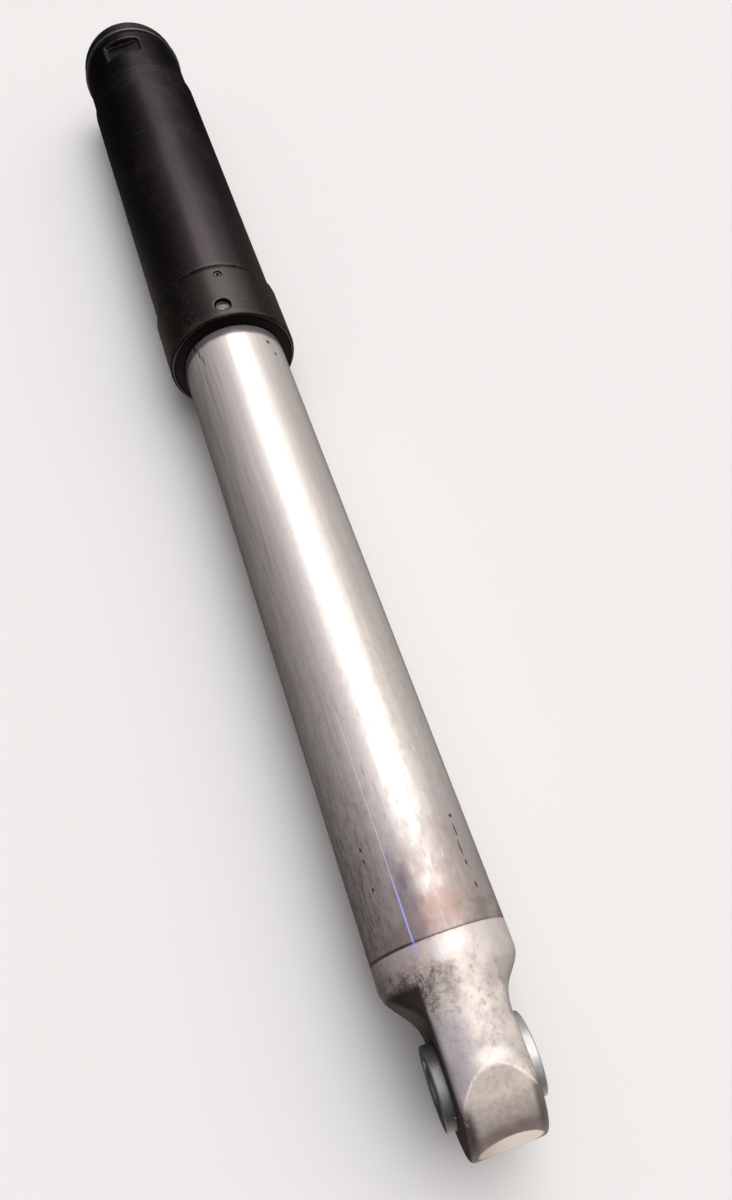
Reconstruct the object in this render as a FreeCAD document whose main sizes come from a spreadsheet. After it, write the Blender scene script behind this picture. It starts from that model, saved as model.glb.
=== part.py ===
"""Telescopic hydraulic cylinder: black barrel, screwed collar, one plunger stage and a forged eye end.

The frame's origin is the centre of the barrel's closed end face. +X runs along the cylinder towards the
eye, +Y along the eye's pin and +Z up, out of the eye's front. Millimetres throughout.
"""
import FreeCAD, Part

import math
import os
import re

import Sketcher

# Driving dimensions. A station is a distance along X from the closed end face.
SIZES = {
    # plunger, barrel and collar
    "plunger_radius": 30.0,
    "plunger_bore": 24.0,
    "barrel_radius": 36.0,
    "barrel_bore": 31.0,
    "collar_radius": 37.8,
    "collar_back_radius": 36.2,
    "cap_radius": 34.5,
    # stations
    "cap_seam": 62.0,
    "collar_back": 278.0,
    "collar_front": 322.0,
    "plunger_back": 248.0,
    "seam": 668.0,
    "eye_station": 718.0,
    # clearances
    "running_gap": 0.05,
    "free_gap": 0.4,
    "side_gap": 0.1,
    # screwed joints
    "thread_radius": 33.6,
    "thread_length": 13.0,
    "skirt_radius": 34.0,
    "skirt_length": 22.0,
    "skirt_bore": 31.3,
    "cavity_depth": 14.0,
    # closed end
    "end_rounding": 8.0,
    "port_radius": 9.5,
    "port_depth": 18.0,
    "passage_radius": 5.0,
    "pocket_station": 34.5,
    "pocket_length": 17.0,
    "pocket_width": 25.0,
    "pocket_floor": 30.6,
    "pocket_corner": 3.0,
    "pocket_turn": 9.0,
    "clip_station": 15.0,
    "clip_width": 2.5,
    "clip_inner": 32.6,
    "clip_outer": 35.6,
    "clip_gap": 13.0,
    "clip_ear_radius": 2.3,
    "clip_ear_hole": 1.1,
    "clip_ear_lift": 0.4,
    # seals
    "seal_outer": 33.5,
    "wiper_outer": 35.6,
    "wiper_body": 34.3,
    "wiper_relief": 0.7,
    "wiper_lip_root": 4.2,
    "wiper_lip_back": 5.7,
    "wiper_face": 6.9,
    "wiper_lip_front": 8.7,
    "wiper_lip_height": 1.5,
    "cup_length": 7.4,
    "cup_heel": 4.4,
    "cup_lip_end": 3.4,
    "cup_root": 3.2,
    "cup_lip_height": 0.9,
    "cup_root_height": 1.7,
    "cup_outer_height": 2.6,
    "backup_width": 2.4,
    "cord_radius": 0.88,
    "cord_gap": 0.02,
    "groove_width": 3.0,
    "groove_depth": 1.8,
    # collar: how far behind its front face each step of the bore lies
    "wiper_seat": 3.6,
    "wiper_groove": 7.5,
    "seal_groove_front": 9.0,
    "seal_groove_back": 19.0,
    "bush_seat": 20.5,
    "collar_taper": 3.5,
    "collar_bevel": 1.6,
    "collar_bevel_drop": 1.4,
    "bush_groove": 3.5,
    # spanner holes and grub screw in the collar
    "spanner_hole_radius": 4.5,
    "spanner_hole_depth": 2.4,
    "spanner_hole_inset": 9.0,
    "screw_radius": 2.0,
    "screw_inset": 9.5,
    "screw_length": 3.2,
    "screw_socket": 1.0,
    "screw_turn": 4.8,
    "screw_foot": 0.2,
    # rings on the plunger's inner end, their grooves measured from its back face
    "guide_groove_rear": 6.0,
    "guide_groove_front": 22.0,
    "stop_groove": 38.4,
    "ring_floor": 28.5,
    "guide_ring_width": 12.0,
    "stop_ring_width": 4.3,
    "stop_ring_outer": 30.65,
    "ring_split": 2.0,
    # plug in the plunger's inner end
    "plug_radius": 26.0,
    "plug_depth": 16.0,
    "plug_length": 12.2,
    "plug_groove": 4.4,
    "plug_clip_radius": 27.0,
    "plug_clip_depth": 2.6,
    "plug_clip_width": 1.6,
    "plug_clip_back": 2.0,
    # small chamfers
    "tube_chamfer": 0.9,
    "plunger_lead": 1.5,
    "plunger_lead_drop": 1.0,
    "seam_chamfer": 0.5,
    "spigot_chamfer": 1.0,
    # forged eye end
    "spigot_length": 20.0,
    "lug_half_width": 16.0,
    "ramp_start": 13.5,
    "ramp_length": 13.6,
    "ramp_blend": 9.0,
    "nose_radius": 28.0,
    "nose_start": 48.3,
    "nose_slope": 18.6,
    "nose_room": 15.0,
    "nose_edge": 1.6,
    "bush_radius": 12.5,
    # flanged bushes
    "pin_radius": 10.0,
    "flange_radius": 16.0,
    "flange_width": 5.0,
    "bush_spacing": 2.0,
    "bush_chamfer": 0.7,
}

document = FreeCAD.newDocument("telescopic_cylinder")
sheet = document.addObject("Spreadsheet::Sheet", "sizes")
for row, (alias, number) in enumerate(SIZES.items(), start=1):
    sheet.set("A%d" % row, alias)
    sheet.set("B%d" % row, str(number))
    sheet.setAlias("B%d" % row, alias)
document.recompute()


def bound(formula):
    """The expression that reads each named size of the formula from the sheet."""
    return re.sub(r"(?<![\w.])[a-z][a-z_]*\b(?!\()", lambda word: "sizes." + word.group(), formula)


def origin_item(body, role):
    """The body's own origin plane or axis with this role."""
    return next(item for item in body.Origin.OriginFeatures if item.Role == role)


def new_body(label, station="0", turn=None):
    """An empty body placed at a station along X, turned about X by a size in degrees."""
    body = document.addObject("PartDesign::Body", label)
    body.Label = label
    if turn:
        body.Placement = FreeCAD.Placement(FreeCAD.Vector(), FreeCAD.Rotation(FreeCAD.Vector(1, 0, 0), 0))
        body.setExpression("Placement.Rotation.Angle", bound(turn))
    body.setExpression("Placement.Base.x", bound(station))
    return body


def new_sketch(body, name, role="XY_Plane", height=None):
    """A sketch on one of the body's origin planes, lifted off it by a formula."""
    sketch = body.newObject("Sketcher::SketchObject", name)
    sketch.AttachmentSupport = [(origin_item(body, role), "")]
    sketch.MapMode = "FlatFace"
    if height:
        sketch.setExpression("AttachmentOffset.Base.z", bound(height))
    return sketch


def hold(sketch, kind, items, formula, start=1.0):
    """A dimension of the sketch, bound to a formula. It is drawn at its start value first."""
    index = sketch.addConstraint(Sketcher.Constraint(kind, *items, start))
    sketch.setExpression("Constraints[%d]" % index, bound(formula))


def outline(sketch, corners):
    """A closed outline of straight lines. Each corner is a pair of formulas, neither of them negative,
    or None where another constraint places it."""
    count = len(corners)
    spots = []
    for index in range(count):
        angle = math.tau * index / count
        spots.append(FreeCAD.Vector(20 + 10 * math.cos(angle), 20 + 10 * math.sin(angle), 0))
    for index in range(count):
        sketch.addGeometry(Part.LineSegment(spots[index], spots[(index + 1) % count]), False)
    for index in range(count):
        following = (index + 1) % count
        sketch.addConstraint(Sketcher.Constraint("Coincident", index, 2, following, 1))
    for index, corner in enumerate(corners):
        if corner is not None:
            hold_corner(sketch, index, corner, spots[index])
    return sketch


def hold_corner(sketch, line, corner, spot):
    """Both coordinates of a line's first end, each on an axis or at a formula."""
    along, across = corner
    for kind, formula, axis, start in (("DistanceX", along, -2, spot.x), ("DistanceY", across, -1, spot.y)):
        if formula == "0":
            sketch.addConstraint(Sketcher.Constraint("PointOnObject", line, 1, axis))
        else:
            hold(sketch, kind, (-1, 1, line, 1), formula, start)


def revolve(body, corners):
    """A solid turned about the body's X axis from corners given as (along X, radius)."""
    sketch = outline(new_sketch(body, body.Label + "_profile"), corners)
    turned = body.newObject("PartDesign::Revolution", body.Label + "_turned")
    turned.Profile = sketch
    turned.ReferenceAxis = (origin_item(body, "X_Axis"), [""])
    turned.Angle = 360
    document.recompute()
    return body


def cut(body, sketch, both_ways=False, reverse=False):
    """A pocket from the sketch right through the body."""
    pocket = body.newObject("PartDesign::Pocket", sketch.Name + "_pocket")
    pocket.Profile = sketch
    pocket.Reversed = reverse
    pocket.Type = "ThroughAll"
    pocket.Midplane = both_ways
    before = body.Shape.Volume
    document.recompute()
    if body.Shape.Volume > before - 0.01:
        raise RuntimeError(sketch.Name + " cuts nothing")
    return pocket


def repeat(body, feature, count):
    """The feature, repeated evenly about the body's X axis."""
    pattern = body.newObject("PartDesign::PolarPattern", feature.Name + "_pattern")
    pattern.Originals = [feature]
    pattern.Axis = (origin_item(body, "X_Axis"), [""])
    pattern.Angle = 360
    pattern.Occurrences = count
    body.Tip = pattern
    document.recompute()
    return pattern


def round_edges(body, name, formula, chosen):
    """A fillet on the edges of the body's tip for which chosen is true."""
    names = ["Edge%d" % (i + 1) for i, edge in enumerate(body.Tip.Shape.Edges) if chosen(edge)]
    fillet = body.newObject("PartDesign::Fillet", name)
    fillet.Base = (fillet.BaseFeature, names)
    fillet.setExpression("Radius", bound(formula))
    document.recompute()
    return fillet


def circle_at(station, radius):
    """A test for the whole circle of this radius about X at this station."""
    def test(edge):
        curve = edge.Curve
        if curve.TypeId != "Part::GeomCircle":
            return False
        return abs(curve.Center.x - station) < 0.01 and abs(curve.Radius - radius) < 0.01
    return test


def circle(sketch, along, radius):
    """A circle centred on the sketch's X axis, its place and radius bound to formulas."""
    index = sketch.addGeometry(Part.Circle(FreeCAD.Vector(30, 5, 0), FreeCAD.Vector(0, 0, 1), 2), False)
    hold(sketch, "DistanceX", (-1, 1, index, 3), along)
    sketch.addConstraint(Sketcher.Constraint("PointOnObject", index, 3, -1))
    hold(sketch, "Radius", (index,), radius)


# ---------------------------------------------------------------- closed end of the barrel

def base_cap():
    """The screwed head: rounded end, ring groove, two wrench pockets, oil port and threaded skirt."""
    body = new_body("base_cap", turn="pocket_turn")
    skirt_end = "cap_seam + skirt_length"
    groove = "cap_seam + groove_width"
    skirt = "skirt_radius - running_gap"
    revolve(body, [
        ("0", "port_radius"),
        ("0", "cap_radius"),
        ("clip_station - side_gap", "cap_radius"),
        ("clip_station - side_gap", "clip_inner - running_gap"),
        ("clip_station + clip_width + side_gap", "clip_inner - running_gap"),
        ("clip_station + clip_width + side_gap", "cap_radius"),
        ("cap_seam", "cap_radius"),
        ("cap_seam", skirt),
        (groove, skirt),
        (groove, skirt + " - groove_depth"),
        (groove + " + groove_width", skirt + " - groove_depth"),
        (groove + " + groove_width", skirt),
        (skirt_end, skirt),
        (skirt_end, "skirt_bore"),
        ("cap_seam - cavity_depth", "skirt_bore"),
        ("cap_seam - cavity_depth", "passage_radius"),
        ("port_depth", "passage_radius"),
        ("port_depth", "port_radius"),
    ])
    round_edges(body, "end_rounding", "end_rounding", circle_at(0, SIZES["cap_radius"]))
    sketch = new_sketch(body, "wrench_pocket", height="pocket_floor")
    centred_rectangle(sketch, "pocket_station", "pocket_length", "pocket_width")
    repeat(body, cut(body, sketch, reverse=True), 2)
    round_edges(body, "pocket_corners", "pocket_corner", pocket_corner)
    return body


def centred_rectangle(sketch, station, length, width):
    """A rectangle centred on the X axis at a station."""
    near = station + " - " + length + " / 2"
    far = station + " + " + length + " / 2"
    half = width + " / 2"
    outline(sketch, [(near, half), (far, half), None, None])
    sketch.addConstraint(Sketcher.Constraint("Symmetric", 0, 1, 3, 1, -1))
    sketch.addConstraint(Sketcher.Constraint("Symmetric", 1, 1, 2, 1, -1))


def pocket_corner(edge):
    """A test for the upright edges at the corners of the wrench pockets."""
    if edge.Curve.TypeId != "Part::GeomLine":
        return False
    half_length = SIZES["pocket_length"] / 2
    for vertex in edge.Vertexes:
        spot = vertex.Point
        off_end = abs(abs(spot.x - SIZES["pocket_station"]) - half_length)
        off_side = abs(abs(spot.y) - SIZES["pocket_width"] / 2)
        if off_end > 0.01 or off_side > 0.01:
            return False
    return abs(edge.Vertexes[0].Point.z - edge.Vertexes[-1].Point.z) > 0.5


def solid(kind, label, station, **formulas):
    """A Part primitive lying along X from a station, its sizes bound to formulas."""
    item = document.addObject(kind, label)
    item.Placement = FreeCAD.Placement(FreeCAD.Vector(), FreeCAD.Rotation(FreeCAD.Vector(0, 1, 0), 90))
    item.setExpression("Placement.Base.x", bound(station))
    for name, formula in formulas.items():
        item.setExpression(name, bound(formula))
    return item


def boolean(kind, label, base, tool):
    """A Part boolean of two objects."""
    item = document.addObject(kind, label)
    item.Base = base
    item.Tool = tool
    return item


def split_ring(label, station, inner, outer, width, gap):
    """A ring about X with one gap, below the axis."""
    disc = solid("Part::Cylinder", label + "_disc", station, Radius=outer, Height=width)
    hole = solid("Part::Cylinder", label + "_hole", station, Radius=inner, Height=width)
    slot = document.addObject("Part::Box", label + "_slot")
    slot.setExpression("Placement.Base.x", bound(station))
    slot.setExpression("Placement.Base.y", bound("-(" + gap + ") / 2"))
    slot.setExpression("Placement.Base.z", bound("-(" + outer + ")"))
    slot.setExpression("Length", bound(width))
    slot.setExpression("Width", bound(gap))
    slot.setExpression("Height", bound(outer))
    ring = boolean("Part::Cut", label + "_ring", disc, hole)
    return boolean("Part::Cut", label, ring, slot)


def base_retaining_ring():
    """An external circlip in the head's groove, with an eared gap underneath."""
    ring = split_ring("base_retaining_ring_plain", "clip_station", "clip_inner", "clip_outer",
                      "clip_width", "clip_gap")
    for side, word in ((1, "right"), (-1, "left")):
        ear = solid("Part::Cylinder", "ear_" + word, "clip_station", Radius="clip_ear_radius",
                    Height="clip_width")
        hole = solid("Part::Cylinder", "ear_hole_" + word, "clip_station", Radius="clip_ear_hole",
                     Height="clip_width")
        for item in (ear, hole):
            item.setExpression("Placement.Base.y", bound("%d * (clip_gap / 2 + clip_ear_radius / 2)" % side))
            item.setExpression("Placement.Base.z", bound("clip_ear_radius / 2 - clip_outer + clip_ear_lift"))
        joined = boolean("Part::Fuse", "eared_" + word, ring, ear)
        ring = boolean("Part::Cut", "drilled_" + word, joined, hole)
    ring.Label = "base_retaining_ring"
    return ring


def o_ring(label, station, centre_radius):
    """A round-section rubber ring about X."""
    ring = solid("Part::Torus", label, station, Radius1=centre_radius, Radius2="cord_radius")
    ring.Label = label
    return ring


def barrel_tube():
    """The outer tube, turned down under the collar and bored out for the head's skirt."""
    body = new_body("barrel_tube", "cap_seam")
    front = "collar_back - cap_seam"
    shoulder = front + " + thread_length"
    return revolve(body, [
        ("0", "skirt_radius"),
        ("0", "barrel_radius - tube_chamfer"),
        ("tube_chamfer", "barrel_radius"),
        (front + " - tube_chamfer", "barrel_radius"),
        (front, "barrel_radius - tube_chamfer"),
        (front, "thread_radius"),
        (shoulder, "thread_radius"),
        (shoulder, "barrel_bore"),
        ("skirt_length + side_gap", "barrel_bore"),
        ("skirt_length + side_gap", "skirt_radius"),
    ])


# ---------------------------------------------------------------- collar and its seals

def gland_collar():
    """The screwed collar: stepped bore for bush, seal and wiper, spanner holes and a grub screw hole."""
    body = new_body("gland_collar")
    bush_front = "collar_front - bush_seat"
    revolve(body, [
        ("collar_back + side_gap", "thread_radius + running_gap"),
        ("collar_back + side_gap", "collar_back_radius"),
        ("collar_back + collar_taper", "collar_radius"),
        ("collar_front - collar_bevel", "collar_radius"),
        ("collar_front", "collar_radius - collar_bevel_drop"),
        ("collar_front", "wiper_outer"),
        ("collar_front - wiper_seat", "wiper_outer"),
        ("collar_front - wiper_seat", "wiper_body"),
        ("collar_front - wiper_groove", "wiper_body"),
        ("collar_front - wiper_groove", "plunger_radius + free_gap"),
        ("collar_front - seal_groove_front", "plunger_radius + free_gap"),
        ("collar_front - seal_groove_front", "seal_outer"),
        ("collar_front - seal_groove_back", "seal_outer"),
        ("collar_front - seal_groove_back", "plunger_radius + free_gap"),
        (bush_front, "plunger_radius + free_gap"),
        (bush_front, "thread_radius + running_gap"),
    ])
    holes = new_sketch(body, "spanner_hole", height="collar_radius - spanner_hole_depth")
    circle(holes, "collar_front - spanner_hole_inset", "spanner_hole_radius")
    repeat(body, cut(body, holes, reverse=True), 4)
    screw = new_sketch(body, "screw_hole")
    turned = FreeCAD.Rotation(FreeCAD.Vector(1, 0, 0), -SIZES["screw_turn"])
    screw.AttachmentOffset = FreeCAD.Placement(FreeCAD.Vector(), turned)
    screw.setExpression("AttachmentOffset.Rotation.Angle", bound("-screw_turn"))
    circle(screw, "collar_back + screw_inset", "screw_radius + running_gap")
    cut(body, screw, reverse=True)
    return body


def gland_lock_screw():
    """A grub screw with a hexagon socket, radially in the collar, bearing on the barrel's thread."""
    body = document.addObject("PartDesign::Body", "gland_lock_screw")
    body.Label = "gland_lock_screw"
    turned = FreeCAD.Rotation(FreeCAD.Vector(1, 0, 0), -SIZES["screw_turn"])
    body.Placement = FreeCAD.Placement(FreeCAD.Vector(), turned)
    body.setExpression("Placement.Base.x", bound("collar_back + screw_inset"))
    body.setExpression("Placement.Rotation.Angle", bound("-screw_turn"))
    shank = new_sketch(body, "shank", height="thread_radius + screw_foot")
    disc = shank.addGeometry(Part.Circle(FreeCAD.Vector(), FreeCAD.Vector(0, 0, 1), 2), False)
    shank.addConstraint(Sketcher.Constraint("Coincident", disc, 3, -1, 1))
    hold(shank, "Radius", (disc,), "screw_radius")
    pad = body.newObject("PartDesign::Pad", "shank_pad")
    pad.Profile = shank
    pad.setExpression("Length", bound("screw_length"))
    document.recompute()
    socket = new_sketch(body, "socket", height="thread_radius + screw_foot + screw_length / 2")
    hexagon(socket, "screw_socket")
    cut(body, socket, reverse=True)
    return body


def hexagon(sketch, half_width):
    """A regular hexagon about the sketch's origin, given half its width across flats."""
    radius = SIZES[half_width] / math.cos(math.pi / 6)
    spots = [FreeCAD.Vector(radius * math.cos(i * math.pi / 3), radius * math.sin(i * math.pi / 3), 0)
             for i in range(6)]
    for i in range(6):
        sketch.addGeometry(Part.LineSegment(spots[i], spots[(i + 1) % 6]), False)
    ring = sketch.addGeometry(Part.Circle(FreeCAD.Vector(), FreeCAD.Vector(0, 0, 1), radius), True)
    sketch.addConstraint(Sketcher.Constraint("Coincident", ring, 3, -1, 1))
    for i in range(6):
        sketch.addConstraint(Sketcher.Constraint("Coincident", i, 2, (i + 1) % 6, 1))
        sketch.addConstraint(Sketcher.Constraint("PointOnObject", i, 1, ring))
    for i in range(5):
        sketch.addConstraint(Sketcher.Constraint("Equal", i, i + 1))
    sketch.addConstraint(Sketcher.Constraint("PointOnObject", 0, 1, -1))
    hold(sketch, "Radius", (ring,), half_width + " / cos(30)")


def wiper_seal():
    """The black wiper: an anchored body, a front flange and a lip that stands out along the plunger."""
    body = new_body("wiper_seal", "collar_front - wiper_groove")
    lip = "plunger_radius + running_gap"
    flange_back = "wiper_groove - wiper_seat + side_gap"
    return revolve(body, [
        ("side_gap", "plunger_radius + wiper_relief"),
        ("side_gap", "wiper_body - running_gap"),
        (flange_back, "wiper_body - running_gap"),
        (flange_back, "wiper_outer - running_gap"),
        ("wiper_face", "wiper_outer - running_gap"),
        ("wiper_lip_front", "plunger_radius + wiper_lip_height"),
        ("wiper_lip_front", lip),
        ("wiper_lip_back", lip),
        ("wiper_lip_root", "plunger_radius + wiper_relief"),
    ])


def rod_seal():
    """The U-cup pressure seal, its open side towards the oil."""
    body = new_body("rod_seal", "collar_front - seal_groove_back")
    lip = "plunger_radius + running_gap"
    return revolve(body, [
        ("side_gap", lip),
        ("side_gap", "plunger_radius + cup_lip_height"),
        ("cup_root", "plunger_radius + cup_root_height"),
        ("side_gap", "plunger_radius + cup_outer_height"),
        ("side_gap", "seal_outer - running_gap"),
        ("cup_length", "seal_outer - running_gap"),
        ("cup_length", "plunger_radius + free_gap"),
        ("cup_heel", "plunger_radius + free_gap"),
        ("cup_lip_end", lip),
    ])


def plain_ring(label, station, inner, outer, width):
    """A turned ring of rectangular section."""
    body = new_body(label, station)
    return revolve(body, [("0", inner), ("0", outer), (width, outer), (width, inner)])


def guide_bush():
    """The bush that guides the plunger, with the static seal's groove round its outside."""
    body = new_body("guide_bush", "collar_back + thread_length + side_gap")
    outer = "thread_radius"
    width = "collar_front - collar_back - bush_seat - thread_length - 3 * side_gap"
    groove_end = "bush_groove + groove_width"
    return revolve(body, [
        ("0", "plunger_radius + running_gap"),
        ("0", outer),
        ("bush_groove", outer),
        ("bush_groove", outer + " - groove_depth"),
        (groove_end, outer + " - groove_depth"),
        (groove_end, outer),
        (width, outer),
        (width, "plunger_radius + running_gap"),
    ])


# ---------------------------------------------------------------- plunger and what it carries

def plunger_tube():
    """The silver tube: ring grooves outside and a stepped bore for the plug at its inner end."""
    body = new_body("plunger_tube", "plunger_back")
    outer = "plunger_radius"
    corners = [("0", "plug_radius"), ("0", outer + " - plunger_lead_drop"), ("plunger_lead", outer)]
    corners += ring_groove("guide_groove_rear", "guide_ring_width")
    corners += ring_groove("guide_groove_front", "guide_ring_width")
    corners += ring_groove("stop_groove", "stop_ring_width")
    length = "seam - plunger_back"
    corners += [
        (length + " - seam_chamfer", outer),
        (length, outer + " - seam_chamfer"),
        (length, "plunger_bore"),
        ("plug_depth", "plunger_bore"),
        ("plug_depth", "plug_radius"),
        ("plug_clip_back + plug_clip_width", "plug_radius"),
        ("plug_clip_back + plug_clip_width", "plug_clip_radius"),
        ("plug_clip_back", "plug_clip_radius"),
        ("plug_clip_back", "plug_radius"),
    ]
    return revolve(body, corners)


def ring_groove(start, width):
    """The four corners of a groove in the plunger, a little wider than its ring."""
    end = start + " + " + width + " + 2 * side_gap"
    return [(start, "plunger_radius"), (start, "ring_floor"), (end, "ring_floor"), (end, "plunger_radius")]


def plunger_ring(label, start, width, outer):
    """A split ring seated in its groove on the plunger."""
    station = "plunger_back + side_gap + " + start
    ring = split_ring(label, station, "ring_floor + running_gap", outer, width, "ring_split")
    ring.Label = label
    return ring


def plunger_end_plug():
    """The stepped disc that closes the plunger's inner end, with a groove for its seal."""
    body = new_body("plunger_end_plug", "plunger_back + plug_depth - plug_length")
    outer = "plug_radius - running_gap"
    groove_end = "plug_groove + groove_width"
    return revolve(body, [
        ("0", "0"),
        ("0", outer),
        ("plug_groove", outer),
        ("plug_groove", outer + " - groove_depth"),
        (groove_end, outer + " - groove_depth"),
        (groove_end, outer),
        ("plug_length - side_gap", outer),
        ("plug_length - side_gap", "0"),
    ])


def plug_retaining_ring():
    """The internal circlip that keeps the plug in."""
    station = "plunger_back + plug_clip_back + side_gap"
    width = "plug_clip_width - 2 * side_gap"
    return split_ring("plug_retaining_ring", station, "plug_radius - plug_clip_depth",
                      "plug_clip_radius - running_gap", width, "clip_gap")


def eye_end():
    """The forging: spigot, full-round shoulder, flat-sided lug with a rounded nose, and the pin bore."""
    body = new_body("eye_end", "seam - spigot_length")
    root = "spigot_length"
    tip = root + " + eye_station - seam + nose_radius"
    spigot = "plunger_bore - running_gap"
    revolve(body, [
        ("0", "0"),
        ("0", spigot + " - spigot_chamfer"),
        ("spigot_chamfer", spigot),
        (root, spigot),
        (root, "plunger_radius - seam_chamfer"),
        (root + " + seam_chamfer", "plunger_radius"),
        (tip, "plunger_radius"),
        (tip, "0"),
    ])
    flats = new_sketch(body, "lug_flats")
    outline(flats, [
        (root + " + ramp_start", "plunger_radius"),
        (root + " + ramp_start + ramp_length", "lug_half_width"),
        (tip + " + nose_room", "lug_half_width"),
        (tip + " + nose_room", "plunger_radius + nose_room"),
        (root + " + ramp_start", "plunger_radius + nose_room"),
    ])
    repeat(body, cut(body, flats, both_ways=True), 2)
    round_edges(body, "ramp_blend", "ramp_blend", ramp_foot)
    nose = nose_outline(new_sketch(body, "nose", "XZ_Plane"))
    cut(body, nose, both_ways=True)
    bore = new_sketch(body, "bush_bore", "XZ_Plane")
    circle(bore, root + " + eye_station - seam", "bush_radius + running_gap")
    cut(body, bore, both_ways=True)
    round_edges(body, "lug_edges", "nose_edge", lug_edge)
    return body


def ramp_foot(edge):
    """A test for the straight edge where a shoulder ramp meets a lug flat."""
    if edge.Curve.TypeId != "Part::GeomLine":
        return False
    station = SIZES["spigot_length"] + SIZES["ramp_start"] + SIZES["ramp_length"]
    ends = [vertex.Point for vertex in edge.Vertexes]
    return all(abs(end.x - station) < 0.1 and abs(abs(end.y) - SIZES["lug_half_width"]) < 0.1 for end in ends)


def lug_edge(edge):
    """A test for the edges round the lug's flats: the straight ones along it and those round its nose."""
    ends = [vertex.Point for vertex in edge.Vertexes]
    nose = edge.Curve.TypeId == "Part::GeomCircle" and abs(edge.Curve.Radius - SIZES["nose_radius"]) < 0.01
    long_line = edge.Curve.TypeId == "Part::GeomLine" and abs(ends[0].x - ends[-1].x) > 5
    on_flats = all(abs(abs(end.y) - SIZES["lug_half_width"]) < 0.1 for end in ends)
    return on_flats and (nose or long_line)


def nose_outline(sketch):
    """What the rounded nose leaves off: everything past two slopes and the arc that joins them."""
    root = SIZES["spigot_length"]
    slope = math.radians(SIZES["nose_slope"])
    eye = root + SIZES["eye_station"] - SIZES["seam"]
    radius = SIZES["nose_radius"]
    start = root + SIZES["nose_start"]
    far = eye + radius + SIZES["nose_room"]
    high = SIZES["plunger_radius"] + SIZES["nose_room"]
    meet_x = eye + radius * math.sin(slope)
    meet_z = radius * math.cos(slope)
    edge = SIZES["plunger_radius"]
    top = [(start, edge), (start, high), (far, high), (far, -high), (start, -high), (start, -edge)]
    spots = [FreeCAD.Vector(x, z, 0) for x, z in top]
    upper = FreeCAD.Vector(meet_x, meet_z, 0)
    lower = FreeCAD.Vector(meet_x, -meet_z, 0)
    chain = spots + [lower]
    for first, second in zip(chain, chain[1:]):
        sketch.addGeometry(Part.LineSegment(first, second), False)
    whole = Part.Circle(FreeCAD.Vector(eye, 0, 0), FreeCAD.Vector(0, 0, 1), radius)
    arc = sketch.addGeometry(Part.ArcOfCircle(whole, slope - math.pi / 2, math.pi / 2 - slope), False)
    last = sketch.addGeometry(Part.LineSegment(upper, spots[0]), False)
    for line in range(5):
        sketch.addConstraint(Sketcher.Constraint("Coincident", line, 2, line + 1, 1))
    sketch.addConstraint(Sketcher.Constraint("Tangent", 5, 2, arc, 1))
    sketch.addConstraint(Sketcher.Constraint("Tangent", arc, 2, last, 1))
    sketch.addConstraint(Sketcher.Constraint("Coincident", last, 2, 0, 1))
    for line, kind in enumerate(("Vertical", "Horizontal", "Vertical", "Horizontal", "Vertical")):
        sketch.addConstraint(Sketcher.Constraint(kind, line))
    sketch.addConstraint(Sketcher.Constraint("PointOnObject", arc, 3, -1))
    sketch.addConstraint(Sketcher.Constraint("Symmetric", 0, 1, 4, 2, -1))
    sketch.addConstraint(Sketcher.Constraint("Equal", 0, 4))
    hold(sketch, "DistanceX", (-1, 1, arc, 3), "spigot_length + eye_station - seam", eye)
    hold(sketch, "Radius", (arc,), "nose_radius", radius)
    hold(sketch, "DistanceX", (-1, 1, 0, 1), "spigot_length + nose_start", start)
    hold(sketch, "DistanceY", (-1, 1, 0, 1), "plunger_radius", edge)
    hold(sketch, "DistanceY", (-1, 1, 0, 2), "plunger_radius + nose_room", high)
    hold(sketch, "DistanceX", (-1, 1, 1, 2),
         "spigot_length + eye_station - seam + nose_radius + nose_room", far)
    return sketch


def flanged_bush(label, side):
    """One flanged bush, pressed into the lug from its side: +1 is the +Y side."""
    body = document.addObject("PartDesign::Body", label)
    body.Label = label
    body.Placement = FreeCAD.Placement(FreeCAD.Vector(), FreeCAD.Rotation(FreeCAD.Vector(0, 0, 1), 90 * side))
    body.setExpression("Placement.Base.x", bound("eye_station"))
    outside = "lug_half_width + flange_width"
    return revolve(body, [
        ("bush_spacing / 2", "pin_radius"),
        ("bush_spacing / 2", "bush_radius"),
        ("lug_half_width", "bush_radius"),
        ("lug_half_width", "flange_radius"),
        (outside + " - bush_chamfer", "flange_radius"),
        (outside, "flange_radius - bush_chamfer"),
        (outside, "pin_radius + bush_chamfer"),
        (outside + " - bush_chamfer", "pin_radius"),
    ])


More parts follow.
